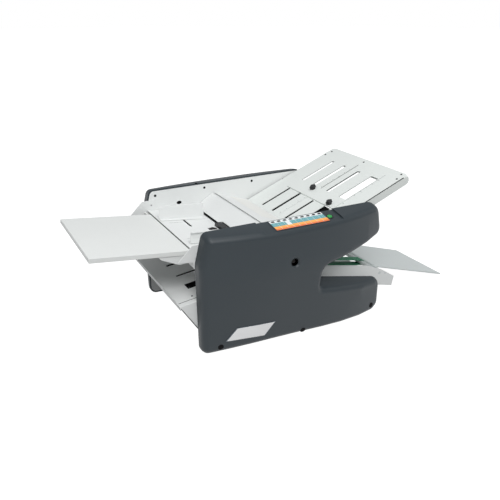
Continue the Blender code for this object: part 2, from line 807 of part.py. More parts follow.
def make_frames():
    outline = rounded(inset(BODY_CORNERS, COVER_WALL + SEAT_GAP))
    plain_holes = [circle(x, z, SHAFT_RADIUS + SEAT_GAP) for x, z in SHAFTS]
    plain_holes += [circle(x, z, TIE_ROD_RADIUS + SEAT_GAP, SMALL_ROUND_STEPS) for x, z in tie_rod_points()]
    plain_holes.append(circle(COVER_HINGE_X, COVER_HINGE_Z, COVER_PIN_RADIUS + SEAT_GAP, SMALL_ROUND_STEPS))
    middle = FRAME_INNER_Y + FRAME_THICKNESS / 2
    oval = round_slot(OVAL_HOLE_X - OVAL_HOLE_LENGTH / 2, OVAL_HOLE_X + OVAL_HOLE_LENGTH / 2,
                      OVAL_HOLE_Z, OVAL_HOLE_HEIGHT)
    plate("far_side_frame", outline, FRAME_THICKNESS, side_place(middle), WHITE, plain_holes + [oval])
    motor_hole = circle(MOTOR_X, MOTOR_Z, MOTOR_HOLE_RADIUS)
    plate("near_side_frame", outline, FRAME_THICKNESS, side_place(-middle), WHITE, plain_holes + [motor_hole])


# Feed table and its extension

FEED_PLACE = slope_place(0, FEED_HINGE_HEIGHT, -FEED_SLOPE)
EXTENSION_AXIS = FEED_PLACE @ Vector((-EXTENSION_THICKNESS / 2, 0, -EXTENSION_THICKNESS / 2))


def make_feed_table():
    half = FRAME_INNER_Y - SEAT_GAP
    notch_half = half - BRACKET_SHEET - SEAT_GAP * 2
    start = FEED_TABLE_START
    end = FEED_TABLE_END
    back = (BRACKET_BACK + SEAT_GAP * 2) / math.cos(FEED_SLOPE)
    outline = [(start, -notch_half), (back, -notch_half), (back, -half), (end, -half),
               (end, half), (back, half), (back, notch_half), (start, notch_half)]
    buried = FEED_ROLLER_RADIUS - FEED_ROLLER_PROUD - SHEET_THICKNESS
    window_half = math.sqrt(FEED_ROLLER_RADIUS ** 2 - buried ** 2) + FEED_WINDOW_MARGIN
    roller_s = FEED_ROLLER_X / math.cos(FEED_SLOPE)
    window = rectangle(roller_s - window_half, FEED_ROLLER_NEAR - FEED_WINDOW_MARGIN,
                       roller_s + window_half, FEED_ROLLER_FAR + FEED_WINDOW_MARGIN)
    slots = []
    for side in (NEAR, FAR):
        across = sorted((side * GUIDE_SLOT_INNER, side * GUIDE_SLOT_OUTER))
        slots.append([(x, y) for y, x in round_slot(across[0], across[1], GUIDE_SLOT_X, GUIDE_SLOT_WIDTH)])
    place = FEED_PLACE @ Matrix.Translation((0, 0, -SHEET_THICKNESS / 2))
    table = plate("feed_table", outline, SHEET_THICKNESS, place, WHITE, [window, *slots])
    for side in (NEAR, FAR):
        edges = sorted((side * half, side * (half - SHEET_THICKNESS)))
        flange_start = back + FEED_FLANGE_DEPTH * math.tan(FEED_SLOPE)
        flange = box("feed_flange", (flange_start, edges[0], -FEED_FLANGE_DEPTH),
                     (end, edges[1], -SHEET_THICKNESS / 2), None, FEED_PLACE)
        join(table, flange)


def make_extension():
    length = EXTENSION_REACH / math.cos(FEED_SLOPE) - EXTENSION_THICKNESS * math.tan(FEED_SLOPE)
    half_thickness = EXTENSION_THICKNESS / 2
    turns = [i * math.pi / END_STEPS for i in range(END_STEPS + 1)]
    end_arc = [(half_thickness * math.sin(turn), half_thickness * math.cos(turn)) for turn in turns]
    front = -(length - half_thickness)
    chamfer = SHEET_THICKNESS
    outline = end_arc + [(front + chamfer, -half_thickness), (front, -half_thickness + chamfer),
                         (front, half_thickness - chamfer), (front + chamfer, half_thickness)]
    bore = circle(0, 0, EXTENSION_ROD_RADIUS + SEAT_GAP, SMALL_ROUND_STEPS)
    place = Matrix.Translation(EXTENSION_AXIS) @ Matrix.Rotation(FEED_SLOPE, 4, "Y") @ SIDE_VIEW
    plate("feed_table_extension", outline, EXTENSION_HALF_WIDTH * 2, place, WHITE, [bore])
    reach = FRAME_INNER_Y - SEAT_GAP
    rod("extension_hinge_rod", EXTENSION_AXIS.x, EXTENSION_AXIS.z, -reach, reach, EXTENSION_ROD_RADIUS,
        STEEL, SMALL_ROUND_STEPS)


def extension_underside(x):
    return feed_height(x) - EXTENSION_THICKNESS / math.cos(FEED_SLOPE) - RUNNING_GAP


def make_brackets():
    peak_x = -EXTENSION_THICKNESS - BRACKET_SHEET
    toe = BRACKET_TOE
    foot = [(-BRACKET_REACH * BRACKET_NOSE_SHARE - toe, FEED_HINGE_HEIGHT - toe), (peak_x, BRACKET_PEAK),
            (BRACKET_BACK, BRACKET_PEAK), (BRACKET_BACK, BRACKET_DROP + toe), (-toe, BRACKET_DROP),
            (-BRACKET_TAB, BRACKET_DROP), (-BRACKET_TAB, BRACKET_FOOT_DROP)]
    web = [(-BRACKET_REACH, extension_underside(-BRACKET_REACH)), (-toe, extension_underside(-toe)),
           (-toe, BRACKET_DROP), (-BRACKET_REACH * BRACKET_WEB_SHARE, BRACKET_DROP),
           (-BRACKET_REACH + toe, FEED_HINGE_HEIGHT - EXTENSION_THICKNESS)]
    for side, name in ((FAR, "far_extension_bracket"), (NEAR, "near_extension_bracket")):
        foot_y = side * (FRAME_INNER_Y - SEAT_GAP - BRACKET_SHEET / 2)
        hole = circle(EXTENSION_AXIS.x, EXTENSION_AXIS.z, EXTENSION_ROD_RADIUS + SEAT_GAP, SMALL_ROUND_STEPS)
        bracket = plate(name, foot, BRACKET_SHEET, side_place(foot_y), WHITE, [hole])
        web_plate = plate(name + "_web", web, BRACKET_SHEET, side_place(side * BRACKET_WEB_Y))
        across = sorted((side * (BRACKET_WEB_Y - BRACKET_SHEET / 2), foot_y))
        bridge = box(name + "_bridge", (-toe - BRACKET_SHEET, across[0], BRACKET_DROP),
                     (-toe, across[1], extension_underside(-toe) - EXTENSION_ROD_RADIUS), None)
        join(bracket, web_plate, bridge)


def make_guides():
    end = GUIDE_END
    sheet = SHEET_THICKNESS
    lift = RUNNING_GAP
    trim = SEAT_GAP
    guides = ((FAR, "far_paper_guide", FAR_GUIDE_Y, FAR_GUIDE_START, FAR_GUIDE_TOP),
              (NEAR, "near_paper_guide", NEAR_GUIDE_Y, NEAR_GUIDE_START, NEAR_GUIDE_TOP))
    for side, name, reach, start, top in guides:
        wall = [(start, feed_height(start) + lift + sheet / 2), (start, top - sheet / 2),
                (end, top - GUIDE_FALL - sheet / 2),
                (end, feed_height(end) + lift + sheet / 2)]
        guide = plate(name, wall, sheet, side_place(side * (reach + sheet / 2)), WHITE)
        inner = sorted((side * (reach - GUIDE_FOOT), side * (reach + sheet / 2)))
        slope_end = end / math.cos(FEED_SLOPE)
        foot = box(name + "_foot", (start + trim, inner[0], lift), (slope_end - trim, inner[1], lift + sheet),
                   None, FEED_PLACE)
        outer = sorted((side * (reach + sheet / 2), side * (reach + GUIDE_RIM)))
        rim_length = math.hypot(end - start, GUIDE_FALL)
        rim = box(name + "_rim", (sheet, outer[0], -sheet), (rim_length - sheet, outer[1], 0), None,
                  slope_place(start, top, -math.atan2(GUIDE_FALL, end - start)))
        half = GUIDE_SLOT_WIDTH / 2 - RUNNING_GAP
        across = sorted((side * (reach - GUIDE_FOOT / 2), side * (reach - sheet)))
        tongue = box(name + "_tongue", (GUIDE_SLOT_X - half, across[0], -GUIDE_TONGUE_DEPTH),
                     (GUIDE_SLOT_X + half, across[1], lift + sheet / 2), None, FEED_PLACE)
        join(guide, foot, rim, tongue)
        set_origin(guide, (GUIDE_SLOT_X, side * reach, feed_height(GUIDE_SLOT_X)))


def set_origin(obj, point):
    """Moves an object's own origin to a point, leaving its shape where it is."""
    bpy.context.view_layer.update()
    moved = Matrix.Translation(point)
    obj.data.transform(moved.inverted() @ obj.matrix_local)
    obj.matrix_local = moved


def make_tie_rods():
    """The rods between the side frames that carry the fold table, the conveyor and the separator."""
    reach = FRAME_INNER_Y + FRAME_THICKNESS
    names = ("upper_table_rod_1", "upper_table_rod_2", "conveyor_rod_1", "conveyor_rod_2", "separator_rod")
    for name, (x, z) in zip(names, tie_rod_points()):
        rod(name, x, z, -reach, reach, TIE_ROD_RADIUS, STEEL, SMALL_ROUND_STEPS)


def make_separator():
    step_x = SEPARATOR_STEP_X + PAD_THICKNESS
    outline = [(SEPARATOR_START, SEPARATOR_UNDER), (SEPARATOR_START, SEPARATOR_TOP),
               (step_x, SEPARATOR_TOP), (step_x, SEPARATOR_REAR_TOP),
               (SEPARATOR_END, SEPARATOR_REAR_TOP), (SEPARATOR_END, SEPARATOR_REAR_UNDER),
               (SEPARATOR_STEP_X, SEPARATOR_REAR_UNDER), (SEPARATOR_STEP_X, SEPARATOR_UNDER)]
    width = SEPARATOR_FAR - SEPARATOR_NEAR
    middle = (SEPARATOR_FAR + SEPARATOR_NEAR) / 2
    bore = circle(SEPARATOR_ROD_X, SEPARATOR_ROD_Z, TIE_ROD_RADIUS + SEAT_GAP, SMALL_ROUND_STEPS)
    plate("separator_holder", outline, width, side_place(middle), DARK, [bore])
    top = SEPARATOR_UNDER - SEAT_GAP
    box("separator_pad", (SEPARATOR_START, SEPARATOR_NEAR, top - PAD_THICKNESS),
        (SEPARATOR_START + PAD_LENGTH, SEPARATOR_FAR, top), RUBBER)


def make_feed_roller():
    reach = SHAFT_REACH
    rod("feed_shaft", FEED_ROLLER_X, FEED_ROLLER_Z, -reach, FEED_BELT_Y + FAR_BELT_WIDTH + SEAT_GAP,
        SHAFT_RADIUS, STEEL)
    inner = SHAFT_RADIUS + SEAT_GAP
    outer = FEED_ROLLER_RADIUS
    ring = [(inner, -FEED_ROLLER_NEAR), (outer, -FEED_ROLLER_NEAR), (outer, -FEED_ROLLER_FAR),
            (inner, -FEED_ROLLER_FAR)]
    turned("feed_roller", ring, along_y(FEED_ROLLER_X, FEED_ROLLER_Z), RUBBER, closed=True)


def make_roller_cover():
    rise = COVER_HINGE_Z + COVER_KNUCKLE_RADIUS - COVER_EDGE_Z
    slope = math.atan2(rise, COVER_HINGE_X - COVER_EDGE_X)
    length = math.hypot(rise, COVER_HINGE_X - COVER_EDGE_X)
    half = FRAME_INNER_Y - COVER_SIDE_GAP
    place = slope_place(COVER_EDGE_X, COVER_EDGE_Z, slope)
    gap = COVER_SIDE_GAP
    outline = [(0, -half), (length, -half), (length, half), (0, half), (0, SEPARATOR_FAR + gap),
               (COVER_NOTCH_DEPTH, SEPARATOR_FAR + gap), (COVER_NOTCH_DEPTH, SEPARATOR_NEAR - gap),
               (0, SEPARATOR_NEAR - gap)]
    panel = plate("feed_roller_cover", outline, COVER_PANEL_THICKNESS,
                  place @ Matrix.Translation((0, 0, -COVER_PANEL_THICKNESS / 2)), WHITE)
    knuckle_half = half - COVER_PIN_RADIUS
    knuckle = rod("cover_knuckle", COVER_HINGE_X, COVER_HINGE_Z, -knuckle_half, knuckle_half,
                  COVER_KNUCKLE_RADIUS, None, SMALL_ROUND_STEPS)
    reach = FRAME_INNER_Y + FRAME_THICKNESS
    pins = rod("cover_pins", COVER_HINGE_X, COVER_HINGE_Z, -reach, reach, COVER_PIN_RADIUS, None,
               SMALL_ROUND_STEPS)
    join(panel, knuckle, pins)
    set_origin(panel, (COVER_HINGE_X, 0, COVER_HINGE_Z))


def sloping_sheet(name, start_x, start_z, end_x, end_z, thickness, half, finish):
    """A flat sheet between the side frames whose top runs between two points of the side view."""
    slope = math.atan2(end_z - start_z, end_x - start_x)
    length = math.hypot(end_z - start_z, end_x - start_x)
    place = slope_place(start_x, start_z, slope) @ Matrix.Translation((0, 0, -thickness / 2))
    return plate(name, rectangle(0, -half, length, half), thickness, place, finish)


def make_sheets():
    half = FRAME_INNER_Y - SEAT_GAP
    sloping_sheet("top_plate", TOP_PLATE_START, TOP_PLATE_START_Z, TOP_PLATE_END, TOP_PLATE_END_Z,
                  SHEET_THICKNESS, half, WHITE)
    sloping_sheet("feed_chute", CHUTE_START, CHUTE_START_Z, CHUTE_END, CHUTE_END_Z,
                  SHEET_THICKNESS, half, STEEL)
    box("base_pan", (PAN_LEFT, -half, PAN_BOTTOM), (PAN_RIGHT, half, PAN_BOTTOM + PAN_THICKNESS), STEEL)


# Fold rollers, gears and drive

def roller_profile(near_reach, far_reach):
    body = FOLD_ROLLER_HALF_LENGTH
    return [(0, near_reach), (SHAFT_RADIUS, near_reach), (SHAFT_RADIUS, body), (FOLD_ROLLER_RADIUS, body),
            (FOLD_ROLLER_RADIUS, -body), (SHAFT_RADIUS, -body), (SHAFT_RADIUS, -far_reach), (0, -far_reach)]


def make_fold_rollers():
    gear_end = GEAR_START_Y + GEAR_WIDTH + SEAT_GAP
    pulley_end = PULLEY_START_Y + PULLEY_WIDTH + SEAT_GAP
    near_reaches = (gear_end, gear_end, gear_end, pulley_end)
    far_reaches = (SHAFT_REACH, FEED_BELT_Y + FAR_BELT_WIDTH + SEAT_GAP, SHAFT_REACH,
                   FAR_BELT_Y + FAR_BELT_WIDTH + SEAT_GAP)
    for i, (x, z) in enumerate(ROLLERS):
        roller = turned(f"fold_roller_{i + 1}", roller_profile(near_reaches[i], far_reaches[i]),
                        along_y(x, z), RUBBER)
        if i == 0:
            start = gear_end - GEAR_WIDTH / 2
            profile = [(0, HAND_SHAFT_END), (SHAFT_RADIUS, HAND_SHAFT_END), (SHAFT_RADIUS, start), (0, start)]
            hexagon = turned("hand_shaft_join", profile, along_y(x, z), None, HEXAGON_STEPS)
            join(roller, hexagon)


def gear_outline(phase):
    """A spur gear's outline: straight-sided teeth, centred on the phase angle."""
    pitch_radius = FOLD_ROLLER_PITCH / 2
    tip = pitch_radius + GEAR_ADDENDUM
    root = pitch_radius - GEAR_DEDENDUM
    pitch = 2 * math.pi / GEAR_TEETH
    points = []
    for tooth in range(GEAR_TEETH):
        middle = phase + tooth * pitch
        flanks = ((root, -TOOTH_ROOT_SHARE / 2), (tip, -TOOTH_TIP_SHARE / 2),
                  (tip, TOOTH_TIP_SHARE / 2), (root, TOOTH_ROOT_SHARE / 2))
        for radius, share in flanks:
            angle = middle + share * pitch
            points.append((radius * math.cos(angle), radius * math.sin(angle)))
    return points


def make_gears():
    """Each gear's teeth start where the gaps of the gear before it are."""
    pitch = 2 * math.pi / GEAR_TEETH
    phase = 0
    for i, (x, z) in enumerate(ROLLERS):
        if i > 0:
            towards = ROLLER_STEP_ANGLES[i - 1]
            phase = 2 * towards + math.pi - phase + pitch / 2
        middle_y = -(GEAR_START_Y + GEAR_WIDTH / 2)
        bore = circle(0, 0, SHAFT_RADIUS + SEAT_GAP)
        plate(f"drive_gear_{i + 1}", gear_outline(phase), GEAR_WIDTH, along_y(x, z, middle_y), BRASS, [bore])


def belt_loop(first, first_radius, second, second_radius, steps=8):
    """The outline of a belt round two pulleys, at a given radius round each."""
    ahead = Vector(second) - Vector(first)
    heading = math.atan2(ahead.y, ahead.x)
    lean = math.asin((first_radius - second_radius) / ahead.length)
    wrap = math.pi / 2 - lean
    points = []
    for centre, radius, start, sweep in (
        (first, first_radius, heading + wrap, 2 * math.pi - 2 * wrap),
        (second, second_radius, heading - wrap, 2 * wrap),
    ):
        for i in range(steps + 1):
            angle = start + sweep * i / steps
            points.append((centre[0] + radius * math.cos(angle), centre[1] + radius * math.sin(angle)))
    return points


def belt(name, first, first_radius, second, second_radius, thickness, width, middle_y, finish,
         gap=RUNNING_GAP):
    outer = belt_loop(first, first_radius + gap + thickness, second, second_radius + gap + thickness)
    inner = belt_loop(first, first_radius + gap, second, second_radius + gap)
    return plate(name, outer, width, side_place(middle_y), finish, [inner])


def make_drive():
    motor = (MOTOR_X, MOTOR_Z)
    face = FRAME_INNER_Y - SEAT_GAP
    collar = MOTOR_COLLAR
    turned("drive_motor", [(0, face), (MOTOR_RADIUS - collar, face), (MOTOR_RADIUS, face - collar),
                           (MOTOR_RADIUS, face - MOTOR_LENGTH + collar),
                           (MOTOR_RADIUS - collar, face - MOTOR_LENGTH), (0, face - MOTOR_LENGTH)],
           along_y(*motor), STEEL, MOTOR_STEPS)
    pulley_end = PULLEY_START_Y + PULLEY_WIDTH
    shaft_start = face + SEAT_GAP
    pulley = [(0, pulley_end), (MOTOR_PULLEY_RADIUS, pulley_end), (MOTOR_PULLEY_RADIUS, PULLEY_START_Y),
              (MOTOR_SHAFT_RADIUS, PULLEY_START_Y), (MOTOR_SHAFT_RADIUS, shaft_start), (0, shaft_start)]
    turned("motor_pulley", pulley, along_y(*motor), STEEL)
    inner = SHAFT_RADIUS + SEAT_GAP
    turned("driven_pulley", [(inner, pulley_end), (DRIVEN_PULLEY_RADIUS, pulley_end),
                             (DRIVEN_PULLEY_RADIUS, PULLEY_START_Y), (inner, PULLEY_START_Y)],
           along_y(*ROLLERS[3]), STEEL, closed=True)
    width = PULLEY_WIDTH - RUNNING_GAP * 2
    belt("drive_belt", motor, MOTOR_PULLEY_RADIUS, ROLLERS[3], DRIVEN_PULLEY_RADIUS, BELT_THICKNESS, width,
         -(PULLEY_START_Y + PULLEY_WIDTH / 2), RUBBER)
    belt("feed_drive_belt", (FEED_ROLLER_X, FEED_ROLLER_Z), SHAFT_RADIUS, ROLLERS[1], SHAFT_RADIUS,
         BELT_THICKNESS, FAR_BELT_WIDTH - RUNNING_GAP * 2, FEED_BELT_Y + FAR_BELT_WIDTH / 2, RUBBER)
    belt("conveyor_drive_belt", ROLLERS[3], SHAFT_RADIUS, DRIVE_ROLLER, SHAFT_RADIUS, BELT_THICKNESS,
         FAR_BELT_WIDTH - RUNNING_GAP * 2, FAR_BELT_Y + FAR_BELT_WIDTH / 2, RUBBER)


# Fold tables and paper stops

def table_slots(start, end):
    """The slots that a stop's fins reach through, with slightly rounded corners."""
    slots = []
    for y, width in zip(TABLE_SLOT_Y, TABLE_SLOT_WIDTH):
        low = y - width / 2
        high = y + width / 2
        corners = [(start, high, TABLE_SLOT_CORNER), (end, high, TABLE_SLOT_CORNER),
                   (end, low, TABLE_SLOT_CORNER), (start, low, TABLE_SLOT_CORNER)]
        slots.append(rounded(corners, 2))
    return slots


def make_upper_table():
    place = slope_place(UPPER_DATUM_X, UPPER_DATUM_Z, UPPER_SLOPE)
    half = UPPER_HALF_WIDTH
    top_corners = [(UPPER_START, half, 0), (UPPER_END, half, UPPER_CORNER), (UPPER_END, -half, UPPER_CORNER),
                   (UPPER_START, -half, 0)]
    slit = rectangle(TABLE_SLOT_START, SCALE_SLIT_Y - SCALE_SLIT_WIDTH / 2, SCALE_SLIT_END,
                     SCALE_SLIT_Y + SCALE_SLIT_WIDTH / 2)
    holes = table_slots(TABLE_SLOT_START, TABLE_SLOT_END) + [slit]
    plate("upper_fold_table", rounded(top_corners, 3), SHEET_THICKNESS,
          place @ Matrix.Translation((0, 0, -SHEET_THICKNESS / 2)), WHITE, holes)

    under = -SHEET_THICKNESS - PAPER_GAP
    flange_top = -SHEET_THICKNESS - SEAT_GAP
    edge = half - SHEET_THICKNESS / 2
    inner_end = UPPER_END - SHEET_THICKNESS * 2
    under_outline = rectangle(UPPER_START, -edge, inner_end - UPPER_CORNER, edge)
    windows = []
    for y, width in zip(TABLE_SLOT_Y, TABLE_SLOT_WIDTH):
        high = y + width / 2 + TABLE_WINDOW_EXTRA
        windows.append(rectangle(TABLE_WINDOW_START, y - width / 2, TABLE_SLOT_END, high))
    base = plate("upper_fold_base", under_outline, SHEET_THICKNESS,
                 place @ Matrix.Translation((0, 0, under - SHEET_THICKNESS / 2)), WHITE, windows)
    low = -UPPER_FLANGE_DEPTH
    flange_corners = [(UPPER_START, flange_top, 0), (inner_end, flange_top, SHEET_THICKNESS),
                      (inner_end, low, UPPER_CORNER), (UPPER_START, low, UPPER_CORNER / 2)]
    holes = [circle(s, -UPPER_ROD_DROP, TIE_ROD_RADIUS + SEAT_GAP, SMALL_ROUND_STEPS)
             for s in UPPER_ROD_PLACES]
    for side in (NEAR, FAR):
        flange = plate("upper_flange", rounded(flange_corners, 3), SHEET_THICKNESS,
                       place @ side_place(side * edge), None, holes)
        join(base, flange)


def make_stop(name, place, low, high, near, far):
    """A bar that slides over a fold table, with fins through its slots."""
    lift = SEAT_GAP
    bar = box(name, (low, near, lift), (high, far, lift + STOP_THICKNESS), PALE, place)
    middle = (low + high) / 2
    depth = SHEET_THICKNESS + PAPER_GAP - RUNNING_GAP
    for y, width in zip(TABLE_SLOT_Y, TABLE_SLOT_WIDTH):
        half = width / 2 - RUNNING_GAP
        fin = box(name + "_fin", (middle - FIN_THICKNESS / 2, y - half, -depth),
                  (middle + FIN_THICKNESS / 2, y + half, lift + STOP_THICKNESS / 2), None, place)
        join(bar, fin)
    return bar


def make_knob(name, place, s, y):
    """A turning clamp knob on a stop bar, its stem in the bar."""
    base = SEAT_GAP + STOP_THICKNESS + SEAT_GAP
    bevel = KNOB_BEVEL
    profile = [(0, base + KNOB_HEIGHT), (KNOB_RADIUS - bevel, base + KNOB_HEIGHT),
               (KNOB_RADIUS, base + KNOB_HEIGHT - bevel), (KNOB_RADIUS, base), (KNOB_STEM_RADIUS, base),
               (KNOB_STEM_RADIUS, base - KNOB_STEM_LENGTH), (0, base - KNOB_STEM_LENGTH)]
    knob = turned(name, profile, place @ Matrix.Translation((s, y, 0)), DARK)
    wing = box(name + "_wing", (s - KNOB_WING_REACH, y - KNOB_WING_WIDTH / 2, base + bevel),
               (s + KNOB_WING_REACH, y + KNOB_WING_WIDTH / 2, base + KNOB_HEIGHT - bevel), None, place)
    join(knob, wing)


def knob_socket(name, place, s, y):
    radius = KNOB_STEM_RADIUS + SEAT_GAP
    bottom = SEAT_GAP + STOP_THICKNESS - KNOB_STEM_LENGTH
    return turned(name, [(0, OVERRUN), (radius, OVERRUN), (radius, bottom), (0, bottom)],
                  place @ Matrix.Translation((s, y, 0)))


def make_upper_stop():
    place = slope_place(UPPER_DATUM_X, UPPER_DATUM_Z, UPPER_SLOPE)
    bar = make_stop("upper_paper_stop", place, STOP_LOW, STOP_HIGH, STOP_NEAR, STOP_FAR)
    knobs = ((UPPER_KNOB_1_S, UPPER_KNOB_1_Y), (UPPER_KNOB_2_S, UPPER_KNOB_2_Y))
    for i, (s, y) in enumerate(knobs):
        cut(bar, knob_socket(f"upper_socket_{i + 1}", place, s, y))
        make_knob(f"upper_stop_knob_{i + 1}", place, s, y)


def make_lower_table():
    place = slope_place(LOWER_DATUM_X, LOWER_DATUM_Z, LOWER_SLOPE)
    half = LOWER_HALF_WIDTH
    lip = SHEET_THICKNESS
    top_outline = rectangle(lip + SEAT_GAP, -half, LOWER_LENGTH, half)
    plate("lower_fold_table", top_outline, SHEET_THICKNESS,
          place @ Matrix.Translation((0, 0, -SHEET_THICKNESS / 2)), WHITE,
          table_slots(LOWER_SLOT_START, LOWER_SLOT_END))
    under = -SHEET_THICKNESS - PAPER_GAP
    edge = FRAME_INNER_Y - SEAT_GAP - SHEET_THICKNESS / 2
    base = plate("lower_fold_base", rectangle(lip / 2, -edge, LOWER_LENGTH, edge), SHEET_THICKNESS,
                 place @ Matrix.Translation((0, 0, under - SHEET_THICKNESS / 2)), WHITE,
                 table_slots(LOWER_SLOT_START, LOWER_SLOT_END))
    front_lip = box("lower_lip", (0, -edge, -LOWER_LIP_DEPTH), (lip, edge, 0), None, place)
    join(base, front_lip)
    tail = place @ Vector((LOWER_LENGTH - lip, 0, 0))
    head = place @ Vector((lip / 2, 0, -lip / 2))
    skirt = [(head.x, head.z), (tail.x, tail.z), (tail.x, tail.z - LOWER_TAIL_DEPTH),
             (LOWER_SKIRT_REAR_X, LOWER_SKIRT_REAR_Z), (LOWER_SKIRT_HEEL_X, LOWER_SKIRT_Z),
             (LOWER_SKIRT_X, LOWER_SKIRT_Z)]
    for side in (NEAR, FAR):
        panel = plate("lower_skirt", skirt, SHEET_THICKNESS, side_place(side * edge))
        ledge_edges = sorted((side * (half + SEAT_GAP), side * edge))
        ledge = box("lower_ledge", (lip / 2, ledge_edges[0], -SHEET_THICKNESS),
                    (LOWER_LENGTH - lip, ledge_edges[1], 0), None, place)
        riser_edges = sorted((side * (half + SEAT_GAP), side * (half + SEAT_GAP + SHEET_THICKNESS)))
        riser = box("lower_riser", (lip / 2, riser_edges[0], under - SHEET_THICKNESS / 2),
                    (LOWER_LENGTH - lip, riser_edges[1], -SHEET_THICKNESS / 2), None, place)
        join(base, panel, ledge, riser)


def make_lower_stop():
    place = slope_place(LOWER_DATUM_X, LOWER_DATUM_Z, LOWER_SLOPE)
    end = LOWER_STOP_START + LOWER_STOP_LENGTH
    bar = make_stop("lower_paper_stop", place, LOWER_STOP_START, end, LOWER_STOP_NEAR, STOP_FAR)
    middle = (LOWER_STOP_START + end) / 2
    cut(bar, knob_socket("lower_socket", place, middle, LOWER_KNOB_Y))
    make_knob("lower_stop_knob", place, middle, LOWER_KNOB_Y)


# Delivery conveyor

def make_conveyor():
    middle = RAIL_Y
    knee = exit_height(RAIL_KNEE)
    start = exit_height(RAIL_START)
    outline = [(RAIL_START, start + RAIL_LIFT), (RAIL_TOP_END, exit_height(RAIL_TOP_END) + RAIL_LIFT),
               (RAIL_KNEE, knee + RAIL_THICKNESS), (RAIL_TIP_X, RAIL_TIP_Z), (RAIL_TOE_X, RAIL_TOE_Z),
               (RAIL_KNEE, knee - RAIL_DROP), (RAIL_START, start - RAIL_DROP)]
    holes = [circle(x, z, TIE_ROD_RADIUS + SEAT_GAP, SMALL_ROUND_STEPS) for x, z in conveyor_rod_points()]
    holes.append(circle(END_ROLLER[0], END_ROLLER[1], EXIT_SHAFT_RADIUS + SEAT_GAP, ROUND_STEPS))
    holes.append(circle(EXIT_HINGE_X, EXIT_HINGE_Z, EXIT_HINGE_RADIUS + SEAT_GAP, SMALL_ROUND_STEPS))
    tray = sloping_sheet("conveyor_tray", RAIL_START, start - BED_DROP, BED_END,
                         exit_height(BED_END) - BED_DROP, SHEET_THICKNESS, middle, PALE)
    for side in (NEAR, FAR):
        join(tray, plate("conveyor_rail", outline, RAIL_THICKNESS, side_place(side * middle), None, holes))

    inner = middle - RAIL_THICKNESS / 2 - SEAT_GAP
    body = inner - RAIL_THICKNESS
    drive = [(0, SHAFT_REACH), (SHAFT_RADIUS, SHAFT_REACH), (SHAFT_RADIUS, body), (EXIT_ROLLER_RADIUS, body),
             (EXIT_ROLLER_RADIUS, -body), (SHAFT_RADIUS, -body), (SHAFT_RADIUS, -FAR_BELT_Y - FAR_BELT_WIDTH),
             (0, -FAR_BELT_Y - FAR_BELT_WIDTH)]
    turned("conveyor_drive_roller", drive, along_y(*DRIVE_ROLLER), STEEL)
    tail_reach = middle + RAIL_THICKNESS / 2
    tail = [(0, tail_reach), (EXIT_SHAFT_RADIUS, tail_reach), (EXIT_SHAFT_RADIUS, body),
            (EXIT_ROLLER_RADIUS, body), (EXIT_ROLLER_RADIUS, -body), (EXIT_SHAFT_RADIUS, -body),
            (EXIT_SHAFT_RADIUS, -tail_reach), (0, -tail_reach)]
    turned("conveyor_end_roller", tail, along_y(*END_ROLLER), PALE)
    for side, name in ((NEAR, "near_delivery_belt"), (FAR, "far_delivery_belt")):
        belt(name, DRIVE_ROLLER, EXIT_ROLLER_RADIUS, END_ROLLER, EXIT_ROLLER_RADIUS, EXIT_BELT_THICKNESS,
             EXIT_BELT_WIDTH, side * EXIT_BELT_Y, GREEN, SEAT_GAP)


def make_exit_extension():
    half_thickness = EXIT_EXTENSION_THICKNESS / 2
    length = (EXIT_EXTENSION_END - EXIT_HINGE_X - half_thickness * math.sin(EXIT_EXTENSION_SLOPE)) / math.cos(
        EXIT_EXTENSION_SLOPE)
    place = slope_place(EXIT_HINGE_X, EXIT_HINGE_Z, -EXIT_EXTENSION_SLOPE)
    half = EXIT_EXTENSION_HALF_WIDTH
    corners = [(0, half, 0), (length, half, EXIT_EXTENSION_CORNER),
               (length, -half, EXIT_EXTENSION_CORNER), (0, -half, 0)]
    leaf = plate("exit_extension", rounded(corners, 3), EXIT_EXTENSION_THICKNESS, place, PALE)
    knuckle_half = half - EXIT_HINGE_RADIUS
    knuckle = rod("exit_knuckle", EXIT_HINGE_X, EXIT_HINGE_Z, -knuckle_half, knuckle_half,
                  EXIT_KNUCKLE_RADIUS, None, SMALL_ROUND_STEPS)
    reach = RAIL_Y + RAIL_THICKNESS / 2
    pins = rod("exit_pins", EXIT_HINGE_X, EXIT_HINGE_Z, -reach, reach, EXIT_HINGE_RADIUS, None,
               SMALL_ROUND_STEPS)
    join(leaf, knuckle, pins)


# Base and power inlet

def make_feet():
    top = PAN_BOTTOM - SEAT_GAP
    profile = [(0, top), (FOOT_RADIUS, top), (FOOT_BOTTOM_RADIUS, 0), (0, 0)]
    places = [(x, y) for x in FEET_X for y in (-FEET_Y, FEET_Y)]
    for i, (x, y) in enumerate(places):
        turned(f"rubber_foot_{i + 1}", profile, Matrix.Translation((x, y, 0)), RUBBER)


def make_inlet():
    outer = FRAME_INNER_Y + cover_depth_at(INLET_X, INLET_Z)
    half_width = INLET_WIDTH / 2
    half_height = INLET_HEIGHT / 2
    inlet = box("power_inlet", (INLET_X - half_width, outer - INLET_DEPTH, INLET_Z - half_height),
                (INLET_X + half_width, outer, INLET_Z + half_height), DARK)
    wall = INLET_WALL
    floor = outer - INLET_SOCKET_DEPTH
    socket = box("inlet_socket", (INLET_X - half_width + wall, floor, INLET_Z - half_height + wall),
                 (INLET_X + half_width - wall, outer + OVERRUN, INLET_Z + half_height - wall))
    cut(inlet, socket)
    for i in (-1, 0, 1):
        pin_x = INLET_X + i * INLET_PIN_PITCH
        half_pin = INLET_PIN_THICKNESS / 2
        pin = box("inlet_pin", (pin_x - half_pin, floor - wall, INLET_Z - INLET_PIN_HEIGHT / 2),
                  (pin_x + half_pin, floor + INLET_PIN_LENGTH, INLET_Z + INLET_PIN_HEIGHT / 2))
        join(inlet, pin)


